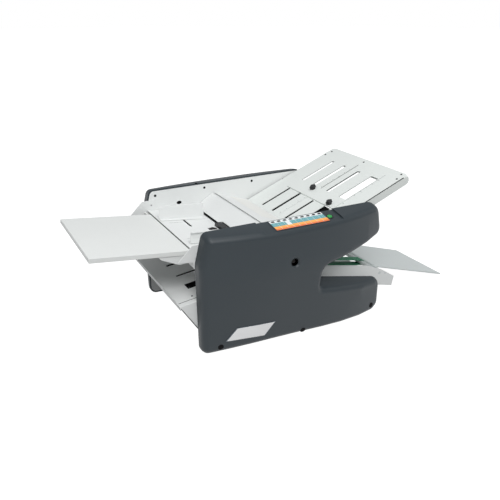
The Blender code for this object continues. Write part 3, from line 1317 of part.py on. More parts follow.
make_covers()
make_frames()
make_panel()
make_feed_table()
make_extension()
make_brackets()
make_guides()
make_tie_rods()
make_separator()
make_feed_roller()
make_roller_cover()
make_sheets()
make_fold_rollers()
make_gears()
make_drive()
make_upper_table()
make_upper_stop()
make_lower_table()
make_lower_stop()
make_conveyor()
make_exit_extension()
make_feet()
make_inlet()
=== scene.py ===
"""Looks of the paper folding machine: finishes, fastenings, the control panel's chart and a plain studio."""

import json
import math

import bmesh
import bpy
from mathutils import Matrix, Vector
from mathutils.bvhtree import BVHTree


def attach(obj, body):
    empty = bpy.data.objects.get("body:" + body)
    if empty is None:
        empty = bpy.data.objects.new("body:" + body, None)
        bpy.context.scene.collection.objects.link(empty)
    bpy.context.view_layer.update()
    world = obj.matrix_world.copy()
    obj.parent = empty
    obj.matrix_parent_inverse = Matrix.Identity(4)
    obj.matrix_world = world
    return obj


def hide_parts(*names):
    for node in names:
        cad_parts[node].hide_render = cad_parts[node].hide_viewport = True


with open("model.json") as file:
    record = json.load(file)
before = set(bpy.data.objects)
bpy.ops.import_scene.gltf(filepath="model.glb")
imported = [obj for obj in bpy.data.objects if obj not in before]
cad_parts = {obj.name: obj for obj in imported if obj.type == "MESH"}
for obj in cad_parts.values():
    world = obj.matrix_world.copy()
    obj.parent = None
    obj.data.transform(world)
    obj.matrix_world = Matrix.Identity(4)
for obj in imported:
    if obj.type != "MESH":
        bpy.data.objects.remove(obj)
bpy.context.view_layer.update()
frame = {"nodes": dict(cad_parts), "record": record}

RECORD = frame["record"]
NODES = frame["nodes"]
BODY_OF = {node: body for body, nodes in RECORD["behaviour"]["bodies"].items() for node in nodes}
SLOT_OF = {part["node"]: part["material_slot"] for part in RECORD["subparts"]}

# The model's origin, seen from the feed table's hinge line, in metres
CENTRE = 0.2945


def place_at(x, y, z):
    """A point given in millimetres from the hinge line, the middle and the desk."""
    return Vector((x / 1000 - CENTRE, y / 1000, z / 1000))


def slope_frame(x, z, degrees):
    """X runs up a slope and Z is its normal, from a point of the side view in millimetres."""
    return Matrix.Translation(place_at(x, 0, z)) @ Matrix.Rotation(-math.radians(degrees), 4, "Y")


UPPER = slope_frame(473.3, 310.4, 22.0)
LOWER = slope_frame(-48.5, 138.0, 7.5)
FEED = slope_frame(0.0, 255.0, -6.5)
PANEL = Matrix.Translation(place_at(0, -172, 306)) @ Matrix.Rotation(math.radians(10.0), 4, "X")
TOP_PLATE = slope_frame(195.5, 276.5, math.degrees(math.atan2(-34.0, 102.0)))


# Materials

def new_material(name):
    mat = bpy.data.materials.new(name)
    mat.use_nodes = True
    return mat, mat.node_tree.nodes, mat.node_tree.links


def srgb(r, g, b):
    """A colour as it shows on screen, 0 to 255, as the shader's linear values."""
    return tuple((c / 255 / 12.92) if c <= 10 else ((c / 255 + 0.055) / 1.055) ** 2.4
                 for c in (r, g, b)) + (1,)


def finish(name, colour, roughness, metallic=0.0, grain=900.0, depth=0.00004, shade=0.05, wear=0.0,
           stretch=(1, 1, 1), coat=0.0, cloud=9.0, specular=0.5, ribs=None):
    """A worked surface: clouded colour, uneven gloss, a fine bump, and rubbed edges where wear is set."""
    mat, nodes, links = new_material(name)
    shader = nodes["Principled BSDF"]
    shader.inputs["Metallic"].default_value = metallic
    shader.inputs["Coat Weight"].default_value = coat
    shader.inputs["Specular IOR Level"].default_value = specular
    coords = nodes.new("ShaderNodeTexCoord")
    mapping = nodes.new("ShaderNodeMapping")
    mapping.inputs["Scale"].default_value = stretch
    links.new(coords.outputs["Object"], mapping.inputs["Vector"])

    clouds = nodes.new("ShaderNodeTexNoise")
    clouds.inputs["Scale"].default_value = cloud
    clouds.inputs["Detail"].default_value = 5.0
    clouds.inputs["Roughness"].default_value = 0.55
    links.new(mapping.outputs["Vector"], clouds.inputs["Vector"])
    ramp = nodes.new("ShaderNodeValToRGB")
    ramp.color_ramp.elements[0].position = 0.3
    ramp.color_ramp.elements[1].position = 0.7
    ramp.color_ramp.elements[0].color = tuple(c * (1 - shade) for c in colour[:3]) + (1,)
    ramp.color_ramp.elements[1].color = tuple(min(1, c * (1 + shade)) for c in colour[:3]) + (1,)
    links.new(clouds.outputs["Fac"], ramp.inputs["Fac"])
    base = ramp.outputs["Color"]

    fine = nodes.new("ShaderNodeTexNoise")
    fine.inputs["Scale"].default_value = grain
    fine.inputs["Detail"].default_value = 3.0
    links.new(mapping.outputs["Vector"], fine.inputs["Vector"])
    gloss = nodes.new("ShaderNodeMapRange")
    gloss.inputs["To Min"].default_value = max(0.02, roughness - 0.07)
    gloss.inputs["To Max"].default_value = min(1.0, roughness + 0.07)
    links.new(fine.outputs["Fac"], gloss.inputs["Value"])
    links.new(gloss.outputs["Result"], shader.inputs["Roughness"])

    height = fine.outputs["Fac"]
    if ribs:
        wave = nodes.new("ShaderNodeTexWave")
        wave.inputs["Scale"].default_value = ribs
        wave.inputs["Distortion"].default_value = 0.4
        wave.inputs["Detail"].default_value = 1.0
        links.new(coords.outputs["Object"], wave.inputs["Vector"])
        both = nodes.new("ShaderNodeMath")
        both.operation = "ADD"
        links.new(wave.outputs["Fac"], both.inputs[0])
        links.new(fine.outputs["Fac"], both.inputs[1])
        height = both.outputs["Value"]
    bump = nodes.new("ShaderNodeBump")
    bump.inputs["Strength"].default_value = 0.6
    bump.inputs["Distance"].default_value = depth
    links.new(height, bump.inputs["Height"])
    links.new(bump.outputs["Normal"], shader.inputs["Normal"])

    if wear > 0:
        geometry = nodes.new("ShaderNodeNewGeometry")
        edge = nodes.new("ShaderNodeMapRange")
        edge.inputs["From Min"].default_value = 0.52
        edge.inputs["From Max"].default_value = 0.62
        edge.inputs["To Max"].default_value = wear
        links.new(geometry.outputs["Pointiness"], edge.inputs["Value"])
        mix = nodes.new("ShaderNodeMix")
        mix.data_type = "RGBA"
        links.new(edge.outputs["Result"], mix.inputs["Factor"])
        links.new(base, mix.inputs["A"])
        mix.inputs["B"].default_value = tuple(min(1, c * 1.6 + 0.03) for c in colour[:3]) + (1,)
        base = mix.outputs["Result"]
    links.new(base, shader.inputs["Base Color"])
    return mat


def powder_coat(name, colour, roughness, shade):
    return finish(name, colour, roughness, grain=1100, depth=0.000025, shade=shade, cloud=5, specular=0.4)


def printed(name, colour, shade=0.03, roughness=0.40, cloud=30):
    """A thin even coat, such as ink or a plain label."""
    return finish(name, colour, roughness, grain=900, depth=0.00001, shade=shade, cloud=cloud)


SLATE = finish("slate_plastic", srgb(46, 54, 59), 0.44, grain=1500, depth=0.00005, shade=0.035, wear=0.25,
               cloud=6, specular=0.4)
WHITE = powder_coat("white_powder_coat", srgb(226, 228, 227), 0.48, 0.012)
TABLE = powder_coat("table_powder_coat", srgb(221, 225, 222), 0.45, 0.014)
LEAF = powder_coat("pale_powder_coat", srgb(205, 211, 210), 0.46, 0.015)
SLAB = finish("extension_laminate", srgb(224, 226, 224), 0.42, grain=700, depth=0.00002, shade=0.012,
              cloud=4, specular=0.4)
STEEL = finish("turned_steel", (0.52, 0.53, 0.54, 1), 0.30, metallic=1.0, grain=1600, depth=0.00002,
               shade=0.05, stretch=(1, 0.03, 1), cloud=60)
SHEET_STEEL = finish("zinc_sheet", (0.56, 0.57, 0.58, 1), 0.36, metallic=1.0, grain=500, depth=0.00001,
                     shade=0.09, stretch=(0.05, 1, 1), cloud=40)
BRASS = finish("brass", (0.60, 0.45, 0.20, 1), 0.32, metallic=1.0, grain=1200, depth=0.00002, shade=0.06,
               cloud=40)
BLACK = finish("black_plastic", srgb(30, 31, 33), 0.42, grain=1500, depth=0.00005, shade=0.08, cloud=40)
# Near-black that paints the shade in holes, slots, seams and gaps
SHADE_BLACK = finish("painted_shade_black", srgb(9, 9, 10), 0.75, grain=1500, depth=0.00003, shade=0.05, cloud=40,
                specular=0.12)
RUBBER = finish("black_rubber", srgb(38, 37, 37), 0.78, grain=1800, depth=0.0001, shade=0.12, cloud=60,
                specular=0.3)
DRIVE_BELT = finish("drive_belt_rubber", srgb(30, 30, 31), 0.7, grain=900, depth=0.0002, shade=0.1, cloud=60,
                    ribs=200.0)
GREEN_BELT = finish("green_delivery_belt", srgb(40, 122, 88), 0.62, grain=1400, depth=0.00012, shade=0.10,
                    cloud=80, ribs=450.0)
GREEN_BUTTON = finish("green_button", srgb(34, 150, 66), 0.30, grain=1000, depth=0.00001, shade=0.03,
                      coat=0.3, cloud=90)
LABEL_DARK = printed("panel_dark_print", srgb(62, 69, 74), roughness=0.42)
LABEL_WHITE = printed("panel_white_print", srgb(226, 230, 230), 0.015)
LABEL_TEAL = printed("panel_teal_print", srgb(92, 160, 166), 0.04)
LABEL_ORANGE = printed("panel_orange_print", srgb(248, 178, 92))
LABEL_RED = printed("panel_red_print", srgb(233, 122, 70))
LABEL_BLACK = printed("panel_black_print", srgb(28, 30, 32))
BADGE_WHITE = printed("badge_white", srgb(252, 252, 252), 0.012, 0.36, 20)
BADGE_RIM = finish("badge_rim", srgb(112, 120, 128), 0.40, grain=900, depth=0.00002, shade=0.03, cloud=20)
SCREW = finish("nickel_screw", (0.42, 0.42, 0.43, 1), 0.34, metallic=1.0, grain=1500, depth=0.00003,
               shade=0.1, cloud=200)
DARK_SCREW = finish("black_oxide_screw", srgb(40, 41, 43), 0.40, metallic=0.6, grain=1500, depth=0.00003,
                    shade=0.12, cloud=200)
PAPER_LABEL = printed("plain_label", srgb(228, 228, 224), 0.012, 0.55, 20)
TICK = printed("scale_print", srgb(120, 124, 124), roughness=0.5)

BY_NODE = {
    "near_cover": SLATE, "far_cover": SLATE, "control_panel_plate": LABEL_DARK, "start_button": GREEN_BUTTON,
    "upper_fold_table": TABLE, "upper_fold_base": TABLE, "lower_fold_table": WHITE, "lower_fold_base": WHITE,
    "conveyor_tray": WHITE, "exit_extension": LEAF, "conveyor_end_roller": LEAF, "feed_table_extension": SLAB,
    "upper_paper_stop": TABLE, "lower_paper_stop": TABLE, "base_pan": SHEET_STEEL, "feed_chute": SHEET_STEEL,
    "extension_hinge_rod": SLAB, "drive_belt": DRIVE_BELT, "feed_drive_belt": DRIVE_BELT,
    "conveyor_drive_belt": DRIVE_BELT, "near_delivery_belt": GREEN_BELT, "far_delivery_belt": GREEN_BELT,
}
BY_SLOT = {
    "slate_plastic": SLATE, "white_sheet": WHITE, "pale_sheet": LEAF, "label": LABEL_DARK, "steel": STEEL,
    "brass": BRASS, "black_plastic": BLACK, "green_plastic": GREEN_BUTTON, "roller_rubber": RUBBER,
    "belt_rubber": DRIVE_BELT, "green_belt": GREEN_BELT,
}


def finish_of(node):
    return BY_NODE.get(node, BY_SLOT[SLOT_OF[node]])


for node, obj in NODES.items():
    for slot in obj.material_slots:
        slot.material = finish_of(node)


# Fine surfaces over the solids

def link(obj):
    bpy.context.scene.collection.objects.link(obj)
    return obj


def clean_copy(node):
    """The solid's mesh with its seams welded and its flat faces whole."""
    shape = bmesh.new()
    shape.from_mesh(NODES[node].data)
    bmesh.ops.remove_doubles(shape, verts=shape.verts, dist=0.00002)
    bmesh.ops.dissolve_limit(shape, angle_limit=math.radians(0.5), verts=shape.verts, edges=shape.edges)
    return shape


def dress(node, bevel, segments=2, angle=30):
    """Stands a fine copy of a solid in for it: its edges broken, its curved faces shaded smooth."""
    shape = clean_copy(node)
    mesh = bpy.data.meshes.new(node + "_skin")
    shape.to_mesh(mesh)
    shape.free()
    mesh.materials.append(finish_of(node))
    mesh.shade_smooth()
    mesh.set_sharp_from_angle(angle=math.radians(angle))
    piece = link(bpy.data.objects.new(node + "_skin", mesh))
    rounding = piece.modifiers.new("broken_edges", "BEVEL")
    rounding.width = bevel
    rounding.segments = segments
    rounding.limit_method = "ANGLE"
    rounding.angle_limit = math.radians(angle)
    rounding.use_clamp_overlap = True
    rounding.harden_normals = False
    weights = piece.modifiers.new("even_shading", "WEIGHTED_NORMAL")
    weights.keep_sharp = False
    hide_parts(node)
    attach(piece, BODY_OF[node])


dress("near_cover", 0.0012, 3, 32)
dress("far_cover", 0.0012, 3, 32)
for name in ("near_side_frame", "far_side_frame", "feed_table", "feed_roller_cover", "top_plate",
             "upper_fold_table", "upper_fold_base", "lower_fold_table", "lower_fold_base", "far_paper_guide",
             "near_paper_guide", "far_extension_bracket", "near_extension_bracket", "conveyor_tray",
             "upper_paper_stop", "lower_paper_stop", "power_inlet", "separator_holder"):
    dress(name, 0.0003, 2)
dress("exit_extension", 0.0007, 2)
dress("feed_table_extension", 0.0009, 3)
dress("start_button", 0.0006, 3)
for name in ("upper_stop_knob_1", "upper_stop_knob_2", "lower_stop_knob"):
    dress(name, 0.0005, 2, 40)
for name in ("feed_roller", "feed_shaft", "conveyor_end_roller", "conveyor_drive_roller",
             "near_delivery_belt", "far_delivery_belt", "extension_hinge_rod", "fold_roller_1",
             "fold_roller_2", "fold_roller_3", "fold_roller_4", "drive_motor", "separator_rod",
             "upper_table_rod_1", "upper_table_rod_2",
             "conveyor_rod_1", "conveyor_rod_2", "rubber_foot_1", "rubber_foot_2", "rubber_foot_3",
             "rubber_foot_4"):
    dress(name, 0.0002, 2, 40)


# Small fittings

def add_mesh(name, shape, material, body):
    mesh = bpy.data.meshes.new(name)
    shape.to_mesh(mesh)
    shape.free()
    materials = material if isinstance(material, (list, tuple)) else [material]
    for item in materials:
        mesh.materials.append(item)
    piece = link(bpy.data.objects.new(name, mesh))
    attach(piece, body)
    return piece


def lathe(shape, profile, steps, transform):
    """Turns (radius, height) pairs about Z and closes both ends."""
    rings = []
    for radius, height in profile:
        ring = [shape.verts.new(transform @ Vector((radius * math.cos(2 * math.pi * i / steps),
                                                    radius * math.sin(2 * math.pi * i / steps), height)))
                for i in range(steps)]
        rings.append(ring)
    for low, high in zip(rings, rings[1:]):
        for i in range(steps):
            j = (i + 1) % steps
            face = shape.faces.new((low[i], low[j], high[j], high[i]))
            face.smooth = True
    shape.faces.new(list(reversed(rings[0])))
    shape.faces.new(rings[-1])


def screw(name, place, radius, material, turn):
    """A domed pan head with a cross recess, standing on the face that its place gives."""
    shape = bmesh.new()
    high = radius * 0.42
    profile = [(radius, 0.0), (radius, high * 0.35), (radius * 0.93, high * 0.68),
               (radius * 0.74, high * 0.9), (radius * 0.4, high)]
    lathe(shape, profile, 20, place)
    head = add_mesh(name, shape, material, "machine")
    cross = bmesh.new()
    for extra in (0, 90):
        spin = Matrix.Rotation(math.radians(turn + extra), 4, "Z")
        made = bmesh.ops.create_cube(cross, size=1.0)["verts"]
        bmesh.ops.scale(cross, vec=(radius * 1.05, radius * 0.2, high), verts=made)
        bmesh.ops.transform(cross, matrix=place @ Matrix.Translation((0, 0, high)) @ spin, verts=made)
    cutter_mesh = bpy.data.meshes.new(name + "_cut")
    cross.to_mesh(cutter_mesh)
    cross.free()
    cutter = link(bpy.data.objects.new(name + "_cut", cutter_mesh))
    boolean = head.modifiers.new("cross", "BOOLEAN")
    boolean.operation = "DIFFERENCE"
    boolean.object = cutter
    boolean.solver = "EXACT"
    boolean.use_self = True
    bpy.context.view_layer.update()
    baked = bpy.data.meshes.new_from_object(head.evaluated_get(bpy.context.evaluated_depsgraph_get()))
    head.modifiers.clear()
    head.data = baked
    bpy.data.objects.remove(cutter, do_unlink=True)


def facing(point, normal):
    """A frame at a point whose Z is the given normal."""
    return Matrix.Translation(point) @ Vector(normal).to_track_quat("Z", "Y").to_matrix().to_4x4()


def table_place(table, s, y):
    """A frame on a table's face, at millimetres up its slope and from the middle."""
    return facing(table @ Vector((s / 1000, y / 1000, 0)), table.to_3x3() @ Vector((0, 0, 1)))


# Nearly flush heads, because the lid swings close to the side frames
FLUSH = Matrix.Diagonal((1.0, 1.0, 0.16, 1.0))
# The inner faces of the side frames and of the extension's brackets, in millimetres from the middle
FRAME_FACE = 172
BRACKET_FACE = 169.7
SIDES = ((1, "far"), (-1, "near"))
FRAME_SCREW_TURNS = {"far": (20, 31), "near": (11, 47)}
for i, (x, z) in enumerate(((25, 292), (168, 294), (316, 293), (420, 283))):
    for side, label in SIDES:
        first, step = FRAME_SCREW_TURNS[label]
        place = facing(place_at(x, side * FRAME_FACE, z), (0, -side, 0)) @ FLUSH
        screw(f"{label}_frame_screw_{i + 1}", place, 0.0036, DARK_SCREW, first + step * i)
for side, label in SIDES:
    for i, (x, z) in enumerate(((12, 268), (11, 251))):
        screw(f"{label}_bracket_screw_{i + 1}", facing(place_at(x, side * BRACKET_FACE, z), (0, -side, 0)),
              0.0022, SCREW, 15 + 40 * i)
for i, (s, y) in enumerate(((91, 158), (112, 153), (116.5, 4.5), (122, -146), (101, -152.5))):
    screw(f"upper_table_screw_{i + 1}", table_place(UPPER, s, y), 0.0027, DARK_SCREW, 25 * i)
for i, (s, y) in enumerate(((42, -142), (42, 142))):
    screw(f"lower_table_screw_{i + 1}", table_place(LOWER, s, y), 0.0022, DARK_SCREW, 33 * i)


# The near cover's face in space, for what lies on it

near_shape = bmesh.new()
near_shape.from_mesh(NODES["near_cover"].data)
near_shape.transform(NODES["near_cover"].matrix_world)
NEAR_FACE = BVHTree.FromBMesh(near_shape)
near_shape.free()


def cover_face(x, z):
    """The point of the near cover's outer face that lies before a place in its side view, and its normal."""
    point, normal, _, _ = NEAR_FACE.ray_cast(place_at(x, -400, z), Vector((0, 1, 0)))
    return point, normal


def slab_on(corners, place, low, high, bevel):
    """A flat plate with rounded rims between two heights, its corners given in the place's plane."""
    shape = bmesh.new()
    bottom = [shape.verts.new((x, y, low)) for x, y in corners]
    base = shape.faces.new(bottom)
    made = bmesh.ops.extrude_face_region(shape, geom=[base])
    top = [item for item in made["geom"] if isinstance(item, bmesh.types.BMVert)]
    for vert in top:
        vert.co.z = high
    bmesh.ops.recalc_face_normals(shape, faces=shape.faces)
    if bevel > 0:
        bmesh.ops.bevel(shape, geom=[edge for edge in shape.edges], offset=bevel, segments=2, affect="EDGES",
                        clamp_overlap=True)
    bmesh.ops.transform(shape, matrix=place, verts=shape.verts)
    return shape


# The bare badge plate and its frame: its corners in the side view, and the steps it bends in

BADGE_POINTS = ((51.0, 38.1), (76.9, 68.3), (174.6, 63.5), (149.9, 30.1))
BADGE_COLUMNS = 14
BADGE_ROWS = 5


def hug_cover(name, grow, low, high, material):
    """A thin plate that follows the near cover's bowed face between the badge's four corners."""
    middle = [sum(corner[i] for corner in BADGE_POINTS) / 4 for i in (0, 1)]
    low_left, high_left, high_right, low_right = [
        [middle[i] + (corner[i] - middle[i]) * grow for i in (0, 1)] for corner in BADGE_POINTS]
    shape = bmesh.new()
    sheets = []
    for height in (low, high):
        grid = []
        for row in range(BADGE_ROWS + 1):
            up = row / BADGE_ROWS
            left = [a + (b - a) * up for a, b in zip(low_left, high_left)]
            right = [a + (b - a) * up for a, b in zip(low_right, high_right)]
            line = []
            for column in range(BADGE_COLUMNS + 1):
                x, z = [a + (b - a) * column / BADGE_COLUMNS for a, b in zip(left, right)]
                point = cover_face(x, z)[0]
                line.append(shape.verts.new(point + Vector((0, -height, 0))))
            grid.append(line)
        sheets.append(grid)
    for grid in sheets:
        for row in range(BADGE_ROWS):
            for column in range(BADGE_COLUMNS):
                shape.faces.new((grid[row][column], grid[row][column + 1], grid[row + 1][column + 1],
                                 grid[row + 1][column]))
    rims = []
    for grid in sheets:
        rims.append(grid[0] + [line[-1] for line in grid[1:]] + grid[-1][-2::-1]
                    + [line[0] for line in grid[-2:0:-1]])
    inner, outer = rims
    for i in range(len(inner)):
        j = (i + 1) % len(inner)
        shape.faces.new((inner[i], inner[j], outer[j], outer[i]))
    bmesh.ops.recalc_face_normals(shape, faces=shape.faces)
    return add_mesh(name, shape, material, "machine")


hug_cover("badge_frame", 1.03, 0.0002, 0.0010, BADGE_RIM)
hug_cover("badge_plate", 0.985, 0.0006, 0.0014, BADGE_WHITE)


# The control panel's chart: bands of colour, without words

CHART_LOW, CHART_HIGH = 0.00108, 0.00124
# How far the chart's marks stand over its bands, and its one pale column over the marks
OVER_BANDS = 0.00012
OVER_MARKS = 0.00018
WHITE_INK, TEAL_INK, ORANGE_INK, RED_INK, BLACK_INK = range(5)


def chart_cell(shape, x0, x1, t0, t1, index, lift=0.0):
    """A thin block on the panel, in millimetres along it and down from its upper edge."""
    corners = [(x0, -t1), (x1, -t1), (x1, -t0), (x0, -t0)]
    low, high = CHART_LOW + lift, CHART_HIGH + lift
    verts = [shape.verts.new(PANEL @ Vector((x / 1000, t / 1000, z)))
             for z in (low, high) for x, t in corners]
    a, b = verts[:4], verts[4:]
    shape.faces.new(list(reversed(a))).material_index = index
    shape.faces.new(b).material_index = index
    for i in range(4):
        j = (i + 1) % 4
        shape.faces.new((a[i], a[j], b[j], b[i])).material_index = index


chart = bmesh.new()
X0, X1 = 174.5, 317.5
for top, bottom, ink in ((4.0, 15.0, WHITE_INK), (15.0, 30.5, TEAL_INK), (30.5, 39.5, ORANGE_INK),
                         (39.5, 45.7, RED_INK)):
    chart_cell(chart, X0, X1, top, bottom, ink)
COLUMNS = 9
pitch = (X1 - X0) / COLUMNS
for i in range(COLUMNS):
    left = X0 + pitch * i
    chart_cell(chart, left + pitch * 0.34, left + pitch * 0.80, 6.2, 12.4, BLACK_INK, OVER_BANDS)
    chart_cell(chart, left + pitch * 0.16, left + pitch * 0.34, 9.4, 11.2, BLACK_INK, OVER_BANDS)
    if i:
        chart_cell(chart, left - 0.25, left + 0.25, 15.0, 45.7, WHITE_INK, OVER_BANDS)
chart_cell(chart, X0 + pitch * 2.35, X0 + pitch * 3.05, 13.0, 32.0, WHITE_INK, OVER_MARKS)
for row in (20.0, 25.3):
    chart_cell(chart, X0, X1, row - 0.2, row + 0.2, WHITE_INK, OVER_BANDS)
chart_cell(chart, X0, X1, 34.6, 35.1, RED_INK, OVER_BANDS)
add_mesh("panel_chart", chart, [LABEL_WHITE, LABEL_TEAL, LABEL_ORANGE, LABEL_RED, LABEL_BLACK], "machine")

ring = bmesh.new()
button_at = PANEL @ Matrix.Translation((0.3275, -0.029, 0.0))
lathe(ring, [(0.0098, 0.0002), (0.0098, 0.0008), (0.0092, 0.0012), (0.0078, 0.0012), (0.0076, 0.0004)],
      40, button_at)
add_mesh("button_ring", ring, LABEL_BLACK, "machine")


# Plain labels, scale marks, and dark strips that stand in for the shadows and cut edges at seams and slots

# The height at which thin pieces start, just clear of the face that they lie on
CLEAR = 0.00003
# The fold tables' slots: the middle across the table and the width, and how wide each slot's edge is darkened
TABLE_SLOTS = ((97, 8), (42, 10), (-26, 8), (-91, 28))
SLOT_EDGE_WIDTHS = (0.5, 0.5, 3.0, 0.5)


def rectangle_on(s0, s1, y0, y1):
    """A rectangle's corners in metres, from millimetres."""
    return [(s0 / 1000, y0 / 1000), (s1 / 1000, y0 / 1000), (s1 / 1000, y1 / 1000), (s0 / 1000, y1 / 1000)]


def strip(name, place, s0, s1, y0, y1, low, high, material=SHADE_BLACK, bevel=0.0):
    shape = slab_on(rectangle_on(s0, s1, y0, y1), place, low, high, bevel)
    add_mesh(name, shape, material, "machine")


strip("top_plate_label", TOP_PLATE, 46, 102, -34, 160, CLEAR, 0.00022, PAPER_LABEL, 0.00008)
# Painted shade in the gaps at the fold tables' seams
for side, label in SIDES:
    strip(f"{label}_lower_seam", LOWER, 3, 257, *sorted((side * 154.6, side * 156.0)), CLEAR, 0.00025)
strip("upper_seam_shade", UPPER, -78, 114, -166.45, -163.0, CLEAR, 0.00025)
for i, ((y, width), dark) in enumerate(zip(TABLE_SLOTS, SLOT_EDGE_WIDTHS)):
    edge = y + width / 2
    strip(f"upper_slot_shadow_{i + 1}", UPPER, -78, 76.5, edge - 0.2, edge + dark, CLEAR, 0.0002)
strip("upper_slit_shadow", UPPER, -60, 99, 6.4, 7.5, CLEAR, 0.0002)
# Painted shade in the gap at the lid's seam
strip("lid_seam_shade", TOP_PLATE, 0.2, 2.9, -166, 166, CLEAR, 0.0003)
marks = bmesh.new()


def mark(place, s0, s1, y0, y1):
    part = slab_on(rectangle_on(s0, s1, y0, y1), place, CLEAR, 0.00016, 0.0)
    mesh = bpy.data.meshes.new("mark")
    part.to_mesh(mesh)
    part.free()
    marks.from_mesh(mesh)
    bpy.data.meshes.remove(mesh)


MARK_WIDTH = 0.9
for i in range(13):
    s = -168 + i * 20
    long = 9.0 if i % 3 == 0 else 5.5
    mark(UPPER, s, s + MARK_WIDTH, -108 - long, -108)
    mark(UPPER, s, s + MARK_WIDTH, 9.0, 9.0 + long * 0.6)
mark(UPPER, -176, 100, -109.4, -108.7)
for i in range(9):
    s = 52 + i * 19
    mark(LOWER, s, s + MARK_WIDTH, -105, -105 + (8.0 if i % 2 == 0 else 5.0))
for y in (-60, 60):
    mark(FEED, 20, 60, y - 0.35, y + 0.35)
add_mesh("scale_marks", marks, TICK, "machine")


# Black discs that paint the shade in the side frames' oval holes and in the far cover's notch

OVAL = Matrix.Diagonal((1.55, 1.0, 1.0, 1.0))
for side, label in SIDES:
    oval = bmesh.new()
    lathe(oval, [(0.0046, 0.0), (0.0046, 0.0002), (0.0040, 0.0003)], 32,
          facing(place_at(92, side * FRAME_FACE, 263), (0, -side, 0)) @ OVAL)
    add_mesh(f"{label}_oval_hole_shade", oval, SHADE_BLACK, "machine")
# A black disc that paints the shade in the far cover's notch
notch_shade = bmesh.new()
lathe(notch_shade, [(0.0036, -0.0030), (0.0036, 0.0002), (0.0028, 0.0006)], 20,
      Matrix.Translation(place_at(145, 176, 308.6)))
add_mesh("far_notch_shade", notch_shade, SHADE_BLACK, "machine")


# Dark strips on the bases, which stand in for the shadow under the tables' slots, and dark troughs under the
# guides' slots, which paint the shade under those slots the same way

for label, place, (start, end) in (("upper", UPPER, (-179, -80)), ("lower", LOWER, (46, 217))):
    for i, (y, width) in enumerate(TABLE_SLOTS):
        strip(f"{label}_slot_shade_strip_{i + 1}", place, start, end, y - width / 2 - 2, y + width / 2 + 9,
              -0.00450, -0.00435)

GUIDE_SHADE_BOTTOM, GUIDE_SHADE_FLOOR, GUIDE_SHADE_TOP = -0.0118, -0.0113, -0.0016
for side, label in SIDES:
    reach = sorted((side * 23, side * 113))
    strip(f"{label}_guide_slot_shade_floor", FEED, 61.8, 71.0, *reach, GUIDE_SHADE_BOTTOM, GUIDE_SHADE_FLOOR)
    strip(f"{label}_guide_slot_shade_front", FEED, 61.8, 62.4, *reach, GUIDE_SHADE_FLOOR, GUIDE_SHADE_TOP)
    strip(f"{label}_guide_slot_shade_back", FEED, 70.4, 71.0, *reach, GUIDE_SHADE_FLOOR, GUIDE_SHADE_TOP)


# Black discs that paint the shade in the wells of the covers' fixing screws, at the lower edge

WELL_SHADE = [(0.0072, -0.0015), (0.0072, 0.0004), (0.0066, 0.0008), (0.0056, 0.0008), (0.0050, 0.0006)]
for i, (x, z) in enumerate(((37.6, 24.5), (259.8, 14.3), (481.2, 23.7))):
    for side, label in reversed(SIDES):
        point, normal = cover_face(x, z)
        point.y *= -side
        normal.y *= -side
        well = bmesh.new()
        lathe(well, WELL_SHADE, 24, facing(point, normal))
        add_mesh(f"{label}_screw_well_shade_{i + 1}", well, SHADE_BLACK, "machine")


# Studio

FLOOR_GREY = 0.25
PURE_WHITE = (1, 1, 1, 1)


def stage_material(name):
    """A floor that takes the machine's shadow and shows white to the camera and in gloss."""
    mat, nodes, links = new_material(name)
    shader = nodes["Principled BSDF"]
    output = nodes["Material Output"]
    shader.inputs["Base Color"].default_value = (FLOOR_GREY, FLOOR_GREY, FLOOR_GREY, 1)
    shader.inputs["Roughness"].default_value = 0.9
    shader.inputs["Specular IOR Level"].default_value = 0.1
    glow = nodes.new("ShaderNodeEmission")
    glow.inputs["Color"].default_value = PURE_WHITE
    glow.inputs["Strength"].default_value = 1.0
    path = nodes.new("ShaderNodeLightPath")
    seen = nodes.new("ShaderNodeMath")
    seen.operation = "MAXIMUM"
    links.new(path.outputs["Is Camera Ray"], seen.inputs[0])
    links.new(path.outputs["Is Glossy Ray"], seen.inputs[1])
    both = nodes.new("ShaderNodeAddShader")
    links.new(shader.outputs[0], both.inputs[0])
    links.new(glow.outputs[0], both.inputs[1])
    mix = nodes.new("ShaderNodeMixShader")
    links.new(seen.outputs[0], mix.inputs["Fac"])
    links.new(shader.outputs[0], mix.inputs[1])
    links.new(both.outputs[0], mix.inputs[2])
    links.new(mix.outputs[0], output.inputs["Surface"])
    return mat


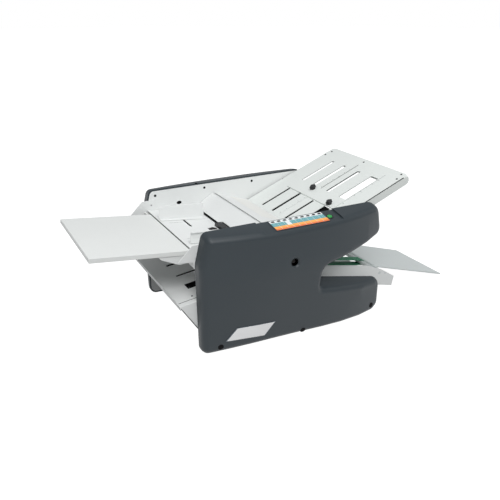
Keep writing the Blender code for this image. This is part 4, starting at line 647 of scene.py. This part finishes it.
floor_shape = bmesh.new()
bmesh.ops.create_circle(floor_shape, cap_ends=True, segments=96, radius=14.0)
floor_mesh = bpy.data.meshes.new("floor")
floor_shape.to_mesh(floor_mesh)
floor_shape.free()
floor_mesh.materials.append(stage_material("floor_white"))
floor = link(bpy.data.objects.new("floor", floor_mesh))

world = bpy.data.worlds.new("studio")
world.use_nodes = True
bpy.context.scene.world = world
tree = world.node_tree
background = tree.nodes["Background"]
background.inputs["Color"].default_value = (0.96, 0.98, 1.0, 1)
background.inputs["Strength"].default_value = 0.46
seen_sky = tree.nodes.new("ShaderNodeBackground")
seen_sky.inputs["Color"].default_value = PURE_WHITE
seen_sky.inputs["Strength"].default_value = 1.0
sky_path = tree.nodes.new("ShaderNodeLightPath")
sky_mix = tree.nodes.new("ShaderNodeMixShader")
tree.links.new(sky_path.outputs["Is Camera Ray"], sky_mix.inputs["Fac"])
tree.links.new(background.outputs[0], sky_mix.inputs[1])
tree.links.new(seen_sky.outputs[0], sky_mix.inputs[2])
tree.links.new(sky_mix.outputs[0], tree.nodes["World Output"].inputs["Surface"])


def lamp(name, location, target, size, power):
    data = bpy.data.lights.new(name, "AREA")
    data.shape = "RECTANGLE"
    data.size, data.size_y = size
    data.energy = power
    obj = link(bpy.data.objects.new(name, data))
    obj.location = location
    obj.rotation_euler = (Vector(target) - Vector(location)).to_track_quat("-Z", "Y").to_euler()


lamp("overhead_softbox", (-0.2, -0.3, 2.3), (0, 0, 0.1), (2.0, 1.4), 12)
lamp("front_softbox", (-0.7, -2.0, 2.4), (0, 0, 0.15), (1.6, 1.2), 49)
lamp("side_softbox", (2.2, -0.8, 1.3), (0, 0, 0.15), (1.2, 1.2), 4)

camera_data = bpy.data.cameras.new("photo_view")
camera_data.lens = 43.92
camera_data.sensor_width = 36.0
camera_data.clip_start = 0.05
camera_data.clip_end = 60.0
camera = link(bpy.data.objects.new("photo_view", camera_data))
camera.location = (-0.7697, -1.3185, 0.7938)
camera.rotation_euler = (math.radians(67.0), 0.0, math.radians(-27.8))
bpy.context.scene.camera = camera
bpy.context.scene.view_settings.view_transform = "Standard"
